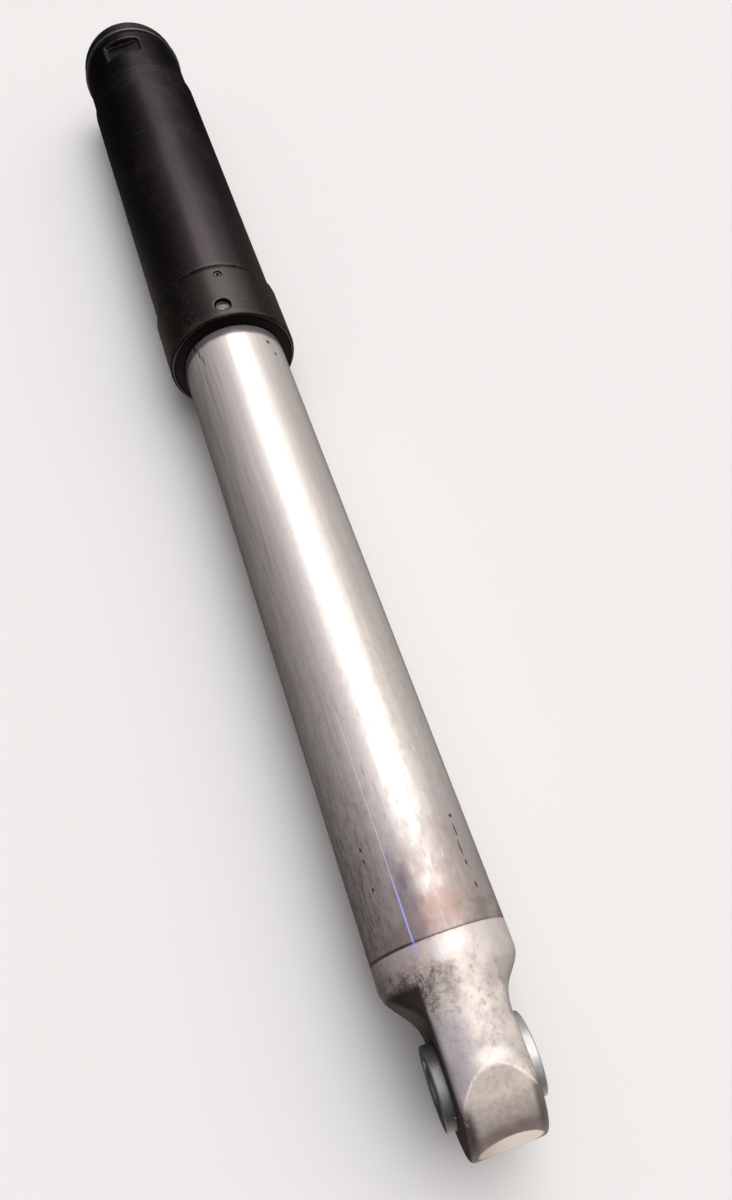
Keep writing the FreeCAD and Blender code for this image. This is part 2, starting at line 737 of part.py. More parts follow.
def build_all():
    """Every sub-part, in the order in which the cylinder goes together."""
    sunk = "(groove_depth - cord_radius - cord_gap)"
    backup_station = "collar_front - seal_groove_back + cup_length + side_gap"
    gland_groove = "collar_back + thread_length + side_gap + bush_groove"
    plug_groove = "plunger_back + plug_depth - plug_length + plug_groove"
    return [
        base_cap(),
        base_retaining_ring(),
        o_ring("base_cap_o_ring", "cap_seam + 1.5 * groove_width", "skirt_radius - running_gap - " + sunk),
        barrel_tube(),
        gland_collar(),
        gland_lock_screw(),
        wiper_seal(),
        plain_ring("rod_seal_backup_ring", backup_station, "plunger_radius + free_gap",
                   "seal_outer - running_gap", "backup_width"),
        rod_seal(),
        guide_bush(),
        o_ring("gland_o_ring", gland_groove + " + groove_width / 2", "thread_radius - " + sunk),
        plunger_ring("stop_ring", "stop_groove", "stop_ring_width", "stop_ring_outer"),
        plunger_ring("guide_ring_front", "guide_groove_front", "guide_ring_width",
                     "barrel_bore - running_gap"),
        plunger_ring("guide_ring_rear", "guide_groove_rear", "guide_ring_width",
                     "barrel_bore - running_gap"),
        plunger_tube(),
        plunger_end_plug(),
        o_ring("plug_o_ring", plug_groove + " + groove_width / 2", "plug_radius - running_gap - " + sunk),
        plug_retaining_ring(),
        eye_end(),
        flanged_bush("left_bush", -1),
        flanged_bush("right_bush", 1),
    ]


def check(parts):
    """Stop if any object failed, or any sub-part has no sound solid."""
    for item in document.Objects:
        if "Invalid" in item.State or "Error" in item.State:
            raise RuntimeError(item.Label + " failed: " + ", ".join(item.State))
    for part in parts:
        if part.Shape.isNull() or not part.Shape.isValid() or not part.Shape.Solids:
            raise RuntimeError(part.Label + " has no valid solid")


sub_parts = build_all()
document.recompute()
check(sub_parts)
os.makedirs("parts", exist_ok=True)
for sub_part in sub_parts:
    sub_part.Shape.exportStep("parts/%s.step" % sub_part.Label)
    box = sub_part.Shape.BoundBox
    print("%-22s %10.0f mm3  X %.2f to %.2f, Y %.2f to %.2f, Z %.2f to %.2f" % (
        sub_part.Label, sub_part.Shape.Volume, box.XMin, box.XMax, box.YMin, box.YMax, box.ZMin, box.ZMax))
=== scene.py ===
import math

import bpy
import numpy as np
from mathutils import Matrix, Vector


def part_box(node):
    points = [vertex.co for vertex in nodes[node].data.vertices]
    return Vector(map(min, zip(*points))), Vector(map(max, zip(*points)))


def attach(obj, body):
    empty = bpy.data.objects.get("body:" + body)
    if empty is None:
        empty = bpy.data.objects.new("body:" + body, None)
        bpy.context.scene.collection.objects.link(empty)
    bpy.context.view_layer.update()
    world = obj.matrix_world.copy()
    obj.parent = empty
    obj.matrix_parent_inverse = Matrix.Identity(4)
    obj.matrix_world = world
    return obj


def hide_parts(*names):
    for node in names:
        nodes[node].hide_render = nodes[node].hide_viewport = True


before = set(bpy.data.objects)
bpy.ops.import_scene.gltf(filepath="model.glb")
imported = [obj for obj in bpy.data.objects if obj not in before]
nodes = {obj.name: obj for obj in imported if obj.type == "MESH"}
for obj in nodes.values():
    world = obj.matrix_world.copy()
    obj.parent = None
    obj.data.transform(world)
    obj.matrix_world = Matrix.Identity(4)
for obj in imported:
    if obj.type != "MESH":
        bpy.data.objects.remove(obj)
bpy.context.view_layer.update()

MM = 0.001

# Sizes in millimetres, stations along X from the closed end face.
PLUNGER_RADIUS = 30.0
COLLAR_RADIUS = 37.8
CAP_RADIUS = 34.5
CAP_SEAM = 62.0
COLLAR_FRONT = 322.0
PLUNGER_BACK = 248.0
SEAM = 668.0
EYE = 718.0


# ---------------------------------------------------------------- camera, room and floor

# The camera stands over the eye end and looks down and back along the cylinder. Place in metres.
CAMERA_PLACE = (0.7146, -0.0512, 0.4005)
CAMERA_RIGHT = (0.31507, 0.94902, 0.00959)
CAMERA_UP = (-0.82793, 0.26990, 0.49161)
CAMERA_LENS = 27.0
SENSOR_WIDTH = 36.0


def add_camera():
    """The photograph's view."""
    right = Vector(CAMERA_RIGHT)
    back = right.cross(Vector(CAMERA_UP)).normalized()
    up = back.cross(right).normalized()
    data = bpy.data.cameras.new("view")
    data.lens = CAMERA_LENS
    data.sensor_width = SENSOR_WIDTH
    camera = bpy.data.objects.new("view", data)
    bpy.context.scene.collection.objects.link(camera)
    placed = Matrix((right.normalized(), up, back)).transposed().to_4x4()
    placed.translation = CAMERA_PLACE
    camera.matrix_world = placed
    bpy.context.scene.camera = camera


def put(tree, kind, settings=None, **inputs):
    """A node whose inputs, named or numbered as i0, i1, ..., are values or other sockets."""
    item = tree.nodes.new(kind)
    for name, value in (settings or {}).items():
        setattr(item, name, value)
    for name, value in inputs.items():
        if name[0] == "i" and name[1:].isdigit():
            socket = item.inputs[int(name[1:])]
        else:
            socket = item.inputs[name.replace("_", " ")]
        if isinstance(value, bpy.types.NodeSocket):
            tree.links.new(value, socket)
        else:
            socket.default_value = value
    return item


def maths(tree, operation, *values):
    """The value of one arithmetic operation."""
    inputs = {"i%d" % index: value for index, value in enumerate(values)}
    return put(tree, "ShaderNodeMath", {"operation": operation}, **inputs).outputs[0]


def between(tree, value, low, high, start=0.0, end=1.0):
    """A smooth step of a value: start below low, end above high."""
    item = put(tree, "ShaderNodeMapRange", {"interpolation_type": "SMOOTHSTEP"}, Value=value,
               i1=low, i2=high, i3=start, i4=end)
    return item.outputs[0]


def mixed(tree, factor, first, second, blend="MIX"):
    """A colour between two, or the first with the second multiplied in."""
    colours = []
    for colour in (first, second):
        if isinstance(colour, tuple):
            colour = (*colour, 1.0)
        colours.append(colour)
    item = put(tree, "ShaderNodeMix", {"data_type": "RGBA", "blend_type": blend},
               i0=factor, i6=colours[0], i7=colours[1])
    return item.outputs[2]


def ramp(tree, value, stops, smooth="EASE"):
    """A colour that follows a value from 0 to 1. Each stop is its place and a grey or a colour."""
    item = put(tree, "ShaderNodeValToRGB", Fac=value)
    item.color_ramp.interpolation = smooth
    elements = item.color_ramp.elements
    while len(elements) < len(stops):
        elements.new(0.5)
    for element, (place, colour) in zip(elements, stops):
        element.position = place
    for element, (_, colour) in zip(elements, stops):
        if not isinstance(colour, tuple):
            colour = (colour, colour, colour)
        element.color = (*colour, 1.0)
    return item.outputs[0]


# Colour of the room by direction about the cylinder: degrees from the camera's side towards +Y.
ROOM = [
    (-180, (0.05, 0.045, 0.04)),
    (-140, (0.13, 0.12, 0.105)),
    (-100, (0.09, 0.08, 0.075)),
    (-70, (0.08, 0.07, 0.07)),
    (-45, (0.16, 0.14, 0.145)),
    (-24, (0.50, 0.46, 0.48)),
    (-10, (0.95, 0.89, 0.91)),
    (0, (1.7, 1.6, 1.55)),
    (9, (4.0, 3.9, 3.8)),
    (30, (4.2, 4.05, 3.9)),
    (48, (1.9, 1.8, 1.68)),
    (64, (1.1, 1.03, 0.95)),
    (84, (0.28, 0.26, 0.235)),
    (105, (0.17, 0.155, 0.14)),
    (135, (0.12, 0.11, 0.10)),
]
ROOM_PEAK = 4.5
# How much of it is left by direction along the cylinder, from 0 behind the closed end to 1 ahead of the eye.
ROOM_AHEAD = [(0.0, 0.04), (0.07, 0.12), (0.09, 0.22), (0.13, 1.0), (0.56, 1.0), (0.68, 0.62), (0.84, 0.17),
              (1.0, 0.05)]
GROUND_COLOUR = (0.30, 0.27, 0.25)
BACKDROP_COLOUR = (0.88, 0.857, 0.849, 1.0)
LIGHT_MAP_SIZE = 512


def add_room():
    """A soft studio room: a broad light above the cylinder to the right, dark low on the left and ahead.

    The camera itself sees a plain pale backdrop.
    """
    world = bpy.data.worlds.new("room")
    bpy.context.scene.world = world
    world.use_nodes = True
    tree = world.node_tree
    tree.nodes.clear()
    where = put(tree, "ShaderNodeTexCoord").outputs["Generated"]
    split = put(tree, "ShaderNodeSeparateXYZ", Vector=where)
    along, across, upward = split.outputs
    lean = math.atan2(-CAMERA_PLACE[1], CAMERA_PLACE[2])
    towards = maths(tree, "SUBTRACT", maths(tree, "MULTIPLY", upward, math.cos(lean)),
                    maths(tree, "MULTIPLY", across, math.sin(lean)))
    aside = maths(tree, "ADD", maths(tree, "MULTIPLY", across, math.cos(lean)),
                  maths(tree, "MULTIPLY", upward, math.sin(lean)))
    turn = maths(tree, "MULTIPLY_ADD", maths(tree, "ARCTAN2", aside, towards), 1 / math.tau, 0.5)
    whole_turn = ROOM + [(180, ROOM[0][1])]
    stops = [((degrees + 180) / 360, tuple(part / ROOM_PEAK for part in colour))
             for degrees, colour in whole_turn]
    round_the_tube = ramp(tree, turn, stops, "LINEAR")
    ahead = ramp(tree, maths(tree, "MULTIPLY_ADD", along, 0.5, 0.5), ROOM_AHEAD)
    colour = mixed(tree, 1.0, round_the_tube, ahead, "MULTIPLY")
    ground = maths(tree, "MULTIPLY", between(tree, along, 0.12, 0.4),
                   between(tree, maths(tree, "MULTIPLY", upward, -1.0), 0.1, 0.32))
    colour = mixed(tree, ground, colour, GROUND_COLOUR)
    shine = put(tree, "ShaderNodeBackground", Color=colour, Strength=ROOM_PEAK)
    backdrop = put(tree, "ShaderNodeBackground", Color=BACKDROP_COLOUR, Strength=1.0)
    seen = put(tree, "ShaderNodeLightPath").outputs["Is Camera Ray"]
    both = put(tree, "ShaderNodeMixShader", i0=seen, i1=shine.outputs[0], i2=backdrop.outputs[0])
    put(tree, "ShaderNodeOutputWorld", Surface=both.outputs[0])
    world.cycles.sampling_method = "MANUAL"
    world.cycles.sample_map_resolution = LIGHT_MAP_SIZE


# How far the floor lies under the collar, in millimetres, and half its width in metres.
FLOOR_DROP = 0.4
FLOOR_REACH = 8.0


def add_floor():
    """A plain pale floor just under the collar."""
    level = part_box("gland_collar")[0].z - FLOOR_DROP * MM
    mesh = bpy.data.meshes.new("floor")
    signs = ((-1, -1), (1, -1), (1, 1), (-1, 1))
    mesh.from_pydata([(x * FLOOR_REACH, y * FLOOR_REACH, level) for x, y in signs], [], [(0, 1, 2, 3)])
    floor = bpy.data.objects.new("floor", mesh)
    bpy.context.scene.collection.objects.link(floor)
    material = bpy.data.materials.new("floor")
    material.use_nodes = True
    shader = material.node_tree.nodes["Principled BSDF"]
    shader.inputs["Base Color"].default_value = (0.66, 0.67, 0.685, 1)
    shader.inputs["Roughness"].default_value = 0.9
    mesh.materials.append(material)
    floor.visible_glossy = False
    floor.visible_diffuse = False


add_camera()
add_room()
add_floor()
bpy.context.scene.view_settings.view_transform = "Standard"


# ---------------------------------------------------------------- shapes

ARC_STEPS = 5
COLUMNS = 240
# How carved points are moved onto their surface: how often, the probe's length, and the least squared slope.
SETTLE_ROUNDS = 3
PROBE = 0.02
LEAST_STEEPNESS = 0.3


def add_piece(node, points, faces, body):
    """A smooth closed mesh, its points in millimetres, that stands for a CAD node and rides a body."""
    mesh = bpy.data.meshes.new(node + "_shape")
    mesh.from_pydata((np.asarray(points) * MM).tolist(), [], faces)
    mesh.shade_smooth()
    piece = bpy.data.objects.new(node + "_shape", mesh)
    bpy.context.scene.collection.objects.link(piece)
    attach(piece, body)
    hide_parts(node)


def rounded(corners, step):
    """A closed outline with each corner (station, radius, rounding) rounded, no side longer than step."""
    outline = []
    count = len(corners)
    for index, (x, r, rounding) in enumerate(corners):
        here = np.array((x, r))
        before = np.array(corners[index - 1][:2]) - here
        after = np.array(corners[(index + 1) % count][:2]) - here
        start = here + before * (rounding / np.linalg.norm(before))
        end = here + after * (rounding / np.linalg.norm(after))
        for part in np.linspace(0, 1, ARC_STEPS if rounding else 1):
            outline.append((1 - part) ** 2 * start + 2 * part * (1 - part) * here + part ** 2 * end)
    filled = []
    for first, second in zip(outline, outline[1:] + outline[:1]):
        pieces = max(1, math.ceil(np.linalg.norm(second - first) / step))
        filled += [first + (second - first) * part / pieces for part in range(pieces)]
    return np.array(filled)


def turned(node, corners, body, step, axis="X", centre=0.0):
    """A piece turned about X, or about the eye's pin, from corners (along, radius, rounding)."""
    outline = rounded(corners, step)
    angles = np.arange(COLUMNS) * math.tau / COLUMNS
    along = np.repeat(outline[:, 0], COLUMNS)
    radius = np.repeat(outline[:, 1], COLUMNS)
    angle = np.tile(angles, len(outline))
    first, second = radius * np.sin(angle), radius * np.cos(angle)
    if axis == "X":
        points = np.stack([along, first, second], axis=1)
    else:
        points = np.stack([centre + first, along, second], axis=1)
    rings = np.arange(len(outline))[:, None] * COLUMNS
    following = (np.arange(len(outline))[:, None] + 1) % len(outline) * COLUMNS
    column = np.arange(COLUMNS)[None, :]
    beside = (column + 1) % COLUMNS
    faces = np.stack([rings + column, rings + beside, following + beside, following + column], axis=-1)
    faces = faces.reshape(-1, 4)
    signed_area = sum(a[0] * b[1] - b[0] * a[1] for a, b in zip(outline, np.roll(outline, -1, axis=0)))
    if (signed_area > 0) == (axis == "X"):
        faces = faces[:, ::-1]
    add_piece(node, points, faces.tolist(), body)


def soft_max(first, second, blend):
    """The larger of two distances, with the edge between them rounded over about a third of blend."""
    overlap = np.maximum(blend - np.abs(first - second), 0) / blend
    return np.maximum(first, second) + overlap ** 2 * blend / 4


def soft_min(first, second, blend):
    """The smaller of two distances, with a fillet between them."""
    return -soft_max(-first, -second, blend)


def slab(value, low, high):
    """The distance outside a range, negative inside it."""
    return np.maximum(low - value, value - high)


def carved(node, low, high, cell, distance, body):
    """A piece whose surface is where a distance function is zero, as quads about one cell across."""
    axes = [np.arange(first - 2 * cell, last + 2 * cell, cell) for first, last in zip(low, high)]
    value = distance(*np.meshgrid(*axes, indexing="ij"))
    inside = value < 0
    filled = np.zeros(np.array(value.shape) - 1, dtype=int)
    for corner in np.ndindex(2, 2, 2):
        filled += inside[tuple(slice(c, c + n) for c, n in zip(corner, filled.shape))]
    cells = np.argwhere((filled > 0) & (filled < 8))
    number = np.full(filled.shape, -1)
    number[tuple(cells.T)] = np.arange(len(cells))
    total = np.zeros(cells.shape)
    crossings = np.zeros(len(cells))
    for axis in range(3):
        along = np.eye(3, dtype=int)[axis]
        for corner in np.ndindex(2, 2, 2):
            if corner[axis]:
                continue
            start = cells + corner
            first, second = value[tuple(start.T)], value[tuple((start + along).T)]
            crosses = (first < 0) != (second < 0)
            part = first[crosses] / (first[crosses] - second[crosses])
            total[crosses] += start[crosses] + part[:, None] * along
            crossings[crosses] += 1
    points = np.array([axis[0] for axis in axes]) + cell * total / crossings[:, None]
    points = settle(points, distance, cell)
    faces = np.concatenate([crossed_quads(inside, number, axis) for axis in range(3)])
    add_piece(node, points, faces.tolist(), body)


def settle(points, distance, cell):
    """The points moved onto the surface itself."""
    for _ in range(SETTLE_ROUNDS):
        here = distance(*points.T)
        probed = [distance(*(points + PROBE * unit).T) for unit in np.eye(3)]
        slope = np.stack([(value - here) / PROBE for value in probed], axis=1)
        steep = np.maximum((slope ** 2).sum(axis=1), LEAST_STEEPNESS)
        move = np.clip(here / steep, -cell / 2, cell / 2)
        points = points - move[:, None] * slope
    return points


def crossed_quads(inside, number, axis):
    """One quad round each edge of the grid along this axis that crosses the surface."""
    across, over = [other for other in range(3) if other != axis]
    last = inside.shape[axis] - 1
    lower = inside.take(range(last), axis)
    edges = np.argwhere(lower != inside.take(range(1, last + 1), axis))
    unit = np.eye(3, dtype=int)
    corners = [edges, edges - unit[across], edges - unit[across] - unit[over], edges - unit[over]]
    quads = np.stack([number[tuple(corner.T)] for corner in corners], axis=1)
    backwards = lower[tuple(edges.T)] == (axis == 1)
    quads[backwards] = quads[backwards][:, ::-1]
    return quads


def corner_distance(first, second):
    """The distance outside the square corner where two sides meet, negative inside it."""
    outside = np.hypot(np.maximum(first, 0), np.maximum(second, 0))
    return outside + np.minimum(np.maximum(first, second), 0)


def turned_about(y, z, turn):
    """How far aside and how far outward a point lies, seen from a direction turned about X."""
    return y * math.cos(turn) - z * math.sin(turn), z * math.cos(turn) + y * math.sin(turn)


# The head.
CAP_ROUNDING = 8.0
CAP_EDGE = 1.4
CLIP_GROOVE = (14.9, 17.6)
CLIP_GROOVE_FLOOR = 32.55
POCKET_TURN = math.radians(9.0)
POCKET_STATION = 34.5
POCKET_HALF_LENGTH = 8.5
POCKET_HALF_WIDTH = 12.5
POCKET_CORNER = 3.0
POCKET_FLOOR = 30.6
CHAMBER_BOTTOM = 48.0
SKIRT_END = 84.0
SKIRT_OUTSIDE = 33.95
SKIRT_BORE = 31.3
CAP_SEAL_GROOVE = (65.0, 68.0)
CAP_SEAL_FLOOR = 32.15
PASSAGE_RADIUS = 5.0
PORT_RADIUS = 9.5
PORT_DEPTH = 18.0


def cap_distance(x, y, z):
    """The head: rounded end, ring groove, wrench pockets, port, and the skirt inside the barrel."""
    radius = np.hypot(y, z)
    shape = corner_distance(radius - (CAP_RADIUS - CAP_ROUNDING), CAP_ROUNDING - x) - CAP_ROUNDING
    shape = soft_max(shape, x - CAP_SEAM, CAP_EDGE)
    groove = np.maximum(slab(x, *CLIP_GROOVE), CLIP_GROOVE_FLOOR - radius)
    shape = soft_max(shape, -groove, 0.5)
    aside, front = turned_about(y, z, -POCKET_TURN)
    gap_x = np.abs(x - POCKET_STATION) - (POCKET_HALF_LENGTH - POCKET_CORNER)
    gap_y = np.abs(aside) - (POCKET_HALF_WIDTH - POCKET_CORNER)
    pocket = soft_max(corner_distance(gap_x, gap_y) - POCKET_CORNER, POCKET_FLOOR - np.abs(front), 0.8)
    shape = soft_max(shape, -pocket, 0.9)
    skirt = np.maximum(slab(x, CHAMBER_BOTTOM, SKIRT_END), radius - SKIRT_OUTSIDE)
    seal_groove = np.maximum(slab(x, *CAP_SEAL_GROOVE), CAP_SEAL_FLOOR - radius)
    shape = np.maximum(soft_min(shape, skirt, 0.3), -seal_groove)
    chamber = np.maximum(radius - SKIRT_BORE, CHAMBER_BOTTOM - x)
    port = np.maximum(radius - PORT_RADIUS, x - PORT_DEPTH)
    hollow = np.minimum(np.minimum(chamber, radius - PASSAGE_RADIUS), port)
    return soft_max(shape, -hollow, 0.8)


# The circlip.
CLIP_SIDES = (15.0, 17.5)
CLIP_BAND = (32.6, 35.6)
CLIP_HALF_GAP = 6.5
EAR_ASIDE = 7.65
EAR_BELOW = 34.05
EAR_RADIUS = 2.3
EAR_HOLE = 1.1
FAR_OFF = 99.0


def ring_distance(x, y, z):
    """The circlip: a flat ring with an eared gap underneath."""
    gap = CLIP_HALF_GAP - np.abs(y) - FAR_OFF * (z > 0)
    band = np.maximum(slab(np.hypot(y, z), *CLIP_BAND), gap)
    ears = np.hypot(np.abs(y) - EAR_ASIDE, z + EAR_BELOW)
    shape = np.maximum(np.minimum(band, ears - EAR_RADIUS), EAR_HOLE - ears)
    return soft_max(shape, slab(x, *CLIP_SIDES), 0.6)


# The collar. Taper and bevel are each how far they run along X and how far they drop.
COLLAR_BACK = 278.1
COLLAR_BACK_RADIUS = 36.2
COLLAR_TAPER = (3.4, 1.6)
BEVEL_START = 320.4
COLLAR_BEVEL = (1.6, 1.4)
COLLAR_BORE = 30.4
# The wider steps of its bore: where each starts and ends along X, and its radius.
COLLAR_STEPS = ((0.0, 301.5, 33.65), (302.9, 313.0, 33.5), (314.5, 330.0, 34.3), (318.4, 330.0, 35.6))
HOLE_STATION = 313.0
HOLE_RADIUS = 4.5
HOLE_FLOOR = 35.4
SCREW_STATION = 287.5
SCREW_TURN = math.radians(4.8)
SCREW_HOLE_RADIUS = 2.05


def collar_distance(x, y, z):
    """The collar: tapered back, bevelled front, stepped bore, four spanner holes and a screw hole."""
    radius = np.hypot(y, z)
    run, drop = COLLAR_TAPER
    taper = ((radius - COLLAR_BACK_RADIUS) * run - (x - COLLAR_BACK) * drop) / math.hypot(run, drop)
    run, drop = COLLAR_BEVEL
    bevel = ((radius - COLLAR_RADIUS) * run + (x - BEVEL_START) * drop) / math.hypot(run, drop)
    shape = soft_max(radius - COLLAR_RADIUS, slab(x, COLLAR_BACK, COLLAR_FRONT), 0.8)
    shape = soft_max(soft_max(shape, taper, 0.8), bevel, 0.8)
    bore = radius - COLLAR_BORE
    for start, end, size in COLLAR_STEPS:
        bore = np.minimum(bore, np.maximum(slab(x, start, end), radius - size))
    shape = soft_max(shape, -bore, 0.5)
    along = x - HOLE_STATION
    above = soft_max(np.hypot(along, y) - HOLE_RADIUS, HOLE_FLOOR - np.abs(z), 0.5)
    beside = soft_max(np.hypot(along, z) - HOLE_RADIUS, HOLE_FLOOR - np.abs(y), 0.5)
    shape = soft_max(shape, -np.minimum(above, beside), 0.9)
    aside, outward = turned_about(y, z, SCREW_TURN)
    screw_hole = np.maximum(np.hypot(x - SCREW_STATION, aside) - SCREW_HOLE_RADIUS, -outward)
    return soft_max(shape, -screw_hole, 0.5)


# The grub screw.
SCREW_RADIUS = 2.0
SCREW_ENDS = (33.8, 37.0)
SOCKET_HALF_WIDTH = 1.0
SOCKET_FLOOR = 35.4


def screw_distance(x, y, z):
    """The grub screw with its hexagon socket."""
    along = x - SCREW_STATION
    aside, outward = turned_about(y, z, SCREW_TURN)
    socket = np.abs(aside)
    for angle in (math.pi / 3, -math.pi / 3):
        socket = np.maximum(socket, np.abs(aside * math.cos(angle) + along * math.sin(angle)))
    shape = soft_max(np.hypot(along, aside) - SCREW_RADIUS, slab(outward, *SCREW_ENDS), 0.5)
    return soft_max(shape, -np.maximum(socket - SOCKET_HALF_WIDTH, SOCKET_FLOOR - outward), 0.15)


# The eye end. The nose is an arc about the pin, met by two slopes with this sine and cosine.
RAMP_START = 681.5
RAMP_LENGTH = 13.6
LUG_HALF_WIDTH = 16.0
RAMP_DROP = PLUNGER_RADIUS - LUG_HALF_WIDTH
RAMP_BLEND = 5.0
FLATS_START = 675.0
NO_FLATS = -5.0
BLEND_REACH = 22.0
NOSE_RADIUS = 28.0
NOSE_SINE = 0.319
NOSE_COSINE = 0.948
SLOPE_ONLY = -2.0
LUG_EDGE = 2.4
SPIGOT = (648.0, 672.0)
SPIGOT_RADIUS = 23.95
BUSH_HOLE = 12.55
# The shallow hollow worn in the nose is part of a sphere: how deep it is, the sphere's radius, and its lean.
DIMPLE_DEPTH = 1.3
DIMPLE_REACH = 60.0
DIMPLE_LEAN = math.radians(19.5)
DIMPLE_OUT = NOSE_RADIUS + DIMPLE_REACH - DIMPLE_DEPTH
DIMPLE_CENTRE = (EYE + DIMPLE_OUT * math.cos(DIMPLE_LEAN), 0.0, DIMPLE_OUT * math.sin(DIMPLE_LEAN))


def eye_distance(x, y, z):
    """The forging: spigot, full-round shoulder, ramps down to a flat-sided lug, and a rounded nose."""
    side = np.abs(y)
    ramp = (x - RAMP_START) * RAMP_DROP + (side - PLUNGER_RADIUS) * RAMP_LENGTH
    ramp = ramp / math.hypot(RAMP_DROP, RAMP_LENGTH)
    lug = np.where(side > BLEND_REACH, ramp, soft_min(ramp, side - LUG_HALF_WIDTH, RAMP_BLEND))
    flats = np.where(x < FLATS_START, NO_FLATS, lug)
    forward, high = x - EYE, np.abs(z)
    slope = forward * NOSE_SINE + high * NOSE_COSINE - NOSE_RADIUS
    arc = np.hypot(forward, z) - NOSE_RADIUS
    nose = np.where(forward * NOSE_COSINE < high * NOSE_SINE, slope, arc)
    nose = np.where(forward < SLOPE_ONLY, slope, nose)
    radius = np.hypot(y, z)
    shape = soft_max(radius - PLUNGER_RADIUS, nose, 0.5)
    shape = soft_max(shape, flats, LUG_EDGE)
    shape = soft_max(shape, SEAM - x, 0.5)
    shape = np.minimum(shape, soft_max(radius - SPIGOT_RADIUS, slab(x, *SPIGOT), 1.0))
    bore = np.hypot(forward, z) - BUSH_HOLE
    centre_x, centre_y, centre_z = DIMPLE_CENTRE
    dimple = np.sqrt((x - centre_x) ** 2 + (y - centre_y) ** 2 + (z - centre_z) ** 2) - DIMPLE_REACH
    return soft_max(soft_max(shape, -bore, 0.6), -dimple, 0.5)


# Outlines of the turned pieces. Each corner is its station along the axis, its radius, and how far back from
# it the rounding starts.
BARREL_OUTLINE = [
    (62.0, 34.0, 0.2), (62.0, 36.0, 0.7), (278.0, 36.0, 0.7), (278.0, 33.6, 0.2), (291.0, 33.6, 0.3),
    (291.0, 31.0, 0.3), (84.1, 31.0, 0.2), (84.1, 34.0, 0.2),
]
WIPER_OUTLINE = [
    (314.6, 30.7, 0.2), (314.6, 34.25, 0.2), (318.5, 34.25, 0.1), (318.5, 35.55, 0.2), (321.5, 35.55, 0.5),
    (323.3, 31.5, 0.5), (323.3, 30.05, 0.2), (320.3, 30.05, 0.2), (318.8, 30.7, 0.2),
]
PLUNGER_INNER_END = [(248.0, 26.0, 0.2), (248.0, 29.0, 0.2), (249.5, 30.0, 0.3)]
PLUNGER_BORE = [
    (SEAM, 30.0, 0.25), (SEAM, 24.0, 0.2), (264.0, 24.0, 0.2), (264.0, 26.0, 0.1), (251.6, 26.0, 0.1),
    (251.6, 27.0, 0.1), (250.0, 27.0, 0.1), (250.0, 26.0, 0.1),
]
# The plunger's ring grooves: how far from its inner end each starts, and its width.
RING_GROOVES = ((6.0, 12.2), (22.0, 12.2), (38.4, 4.5))
GROOVE_FLOOR = 28.5
# A bush, measured along the pin from the eye's middle.
BUSH_OUTLINE = [
    (1.0, 10.0, 0.3), (1.0, 12.5, 0.3), (16.0, 12.5, 0.1), (16.0, 16.0, 0.4), (21.0, 16.0, 0.9),
    (21.0, 10.0, 0.9),
]


def plunger_outline():
    """The plunger tube: its inner end, its ring grooves, and its bore with the plug's seat."""
    grooves = []
    for start, width in RING_GROOVES:
        begin = PLUNGER_BACK + start
        end = begin + width
        grooves += [(begin, PLUNGER_RADIUS, 0.1), (begin, GROOVE_FLOOR, 0.2),
                    (end, GROOVE_FLOOR, 0.2), (end, PLUNGER_RADIUS, 0.1)]
    return PLUNGER_INNER_END + grooves + PLUNGER_BORE


def add_shapes():
    """The outer pieces again as dense, softly rounded meshes in place of the CAD nodes."""
    carved("base_cap", (0, -35, -35), (84, 35, 35), 0.7, cap_distance, "barrel")
    carved("base_retaining_ring", (15, -36, -37), (17.5, 36, 36), 0.4, ring_distance, "barrel")
    carved("gland_collar", (278, -38, -38), (322, 38, 38), 0.6, collar_distance, "barrel")
    carved("gland_lock_screw", (285, 0, 33), (290, 6, 37.6), 0.12, screw_distance, "barrel")
    carved("eye_end", (648, -31, -31), (747, 31, 31), 0.62, eye_distance, "plunger")
    turned("barrel_tube", BARREL_OUTLINE, "barrel", step=2.5)
    turned("wiper_seal", WIPER_OUTLINE, "barrel", step=0.8)
    turned("plunger_tube", plunger_outline(), "plunger", step=3.0)
    for node, side in (("left_bush", -1), ("right_bush", 1)):
        outline = [(side * along, radius, rounding) for along, radius, rounding in BUSH_OUTLINE]
        turned(node, outline, "plunger", step=0.8, axis="Y", centre=EYE)


add_shapes()


# ---------------------------------------------------------------- materials

# A point's turn about X is in degrees from the top towards +Y.
# Painted reflection line: its turn about X on the plunger and the forging.
REFLECTION_LINE_TURN = -24.5
SEAM_SHADE = (0.06, 0.045, 0.045)


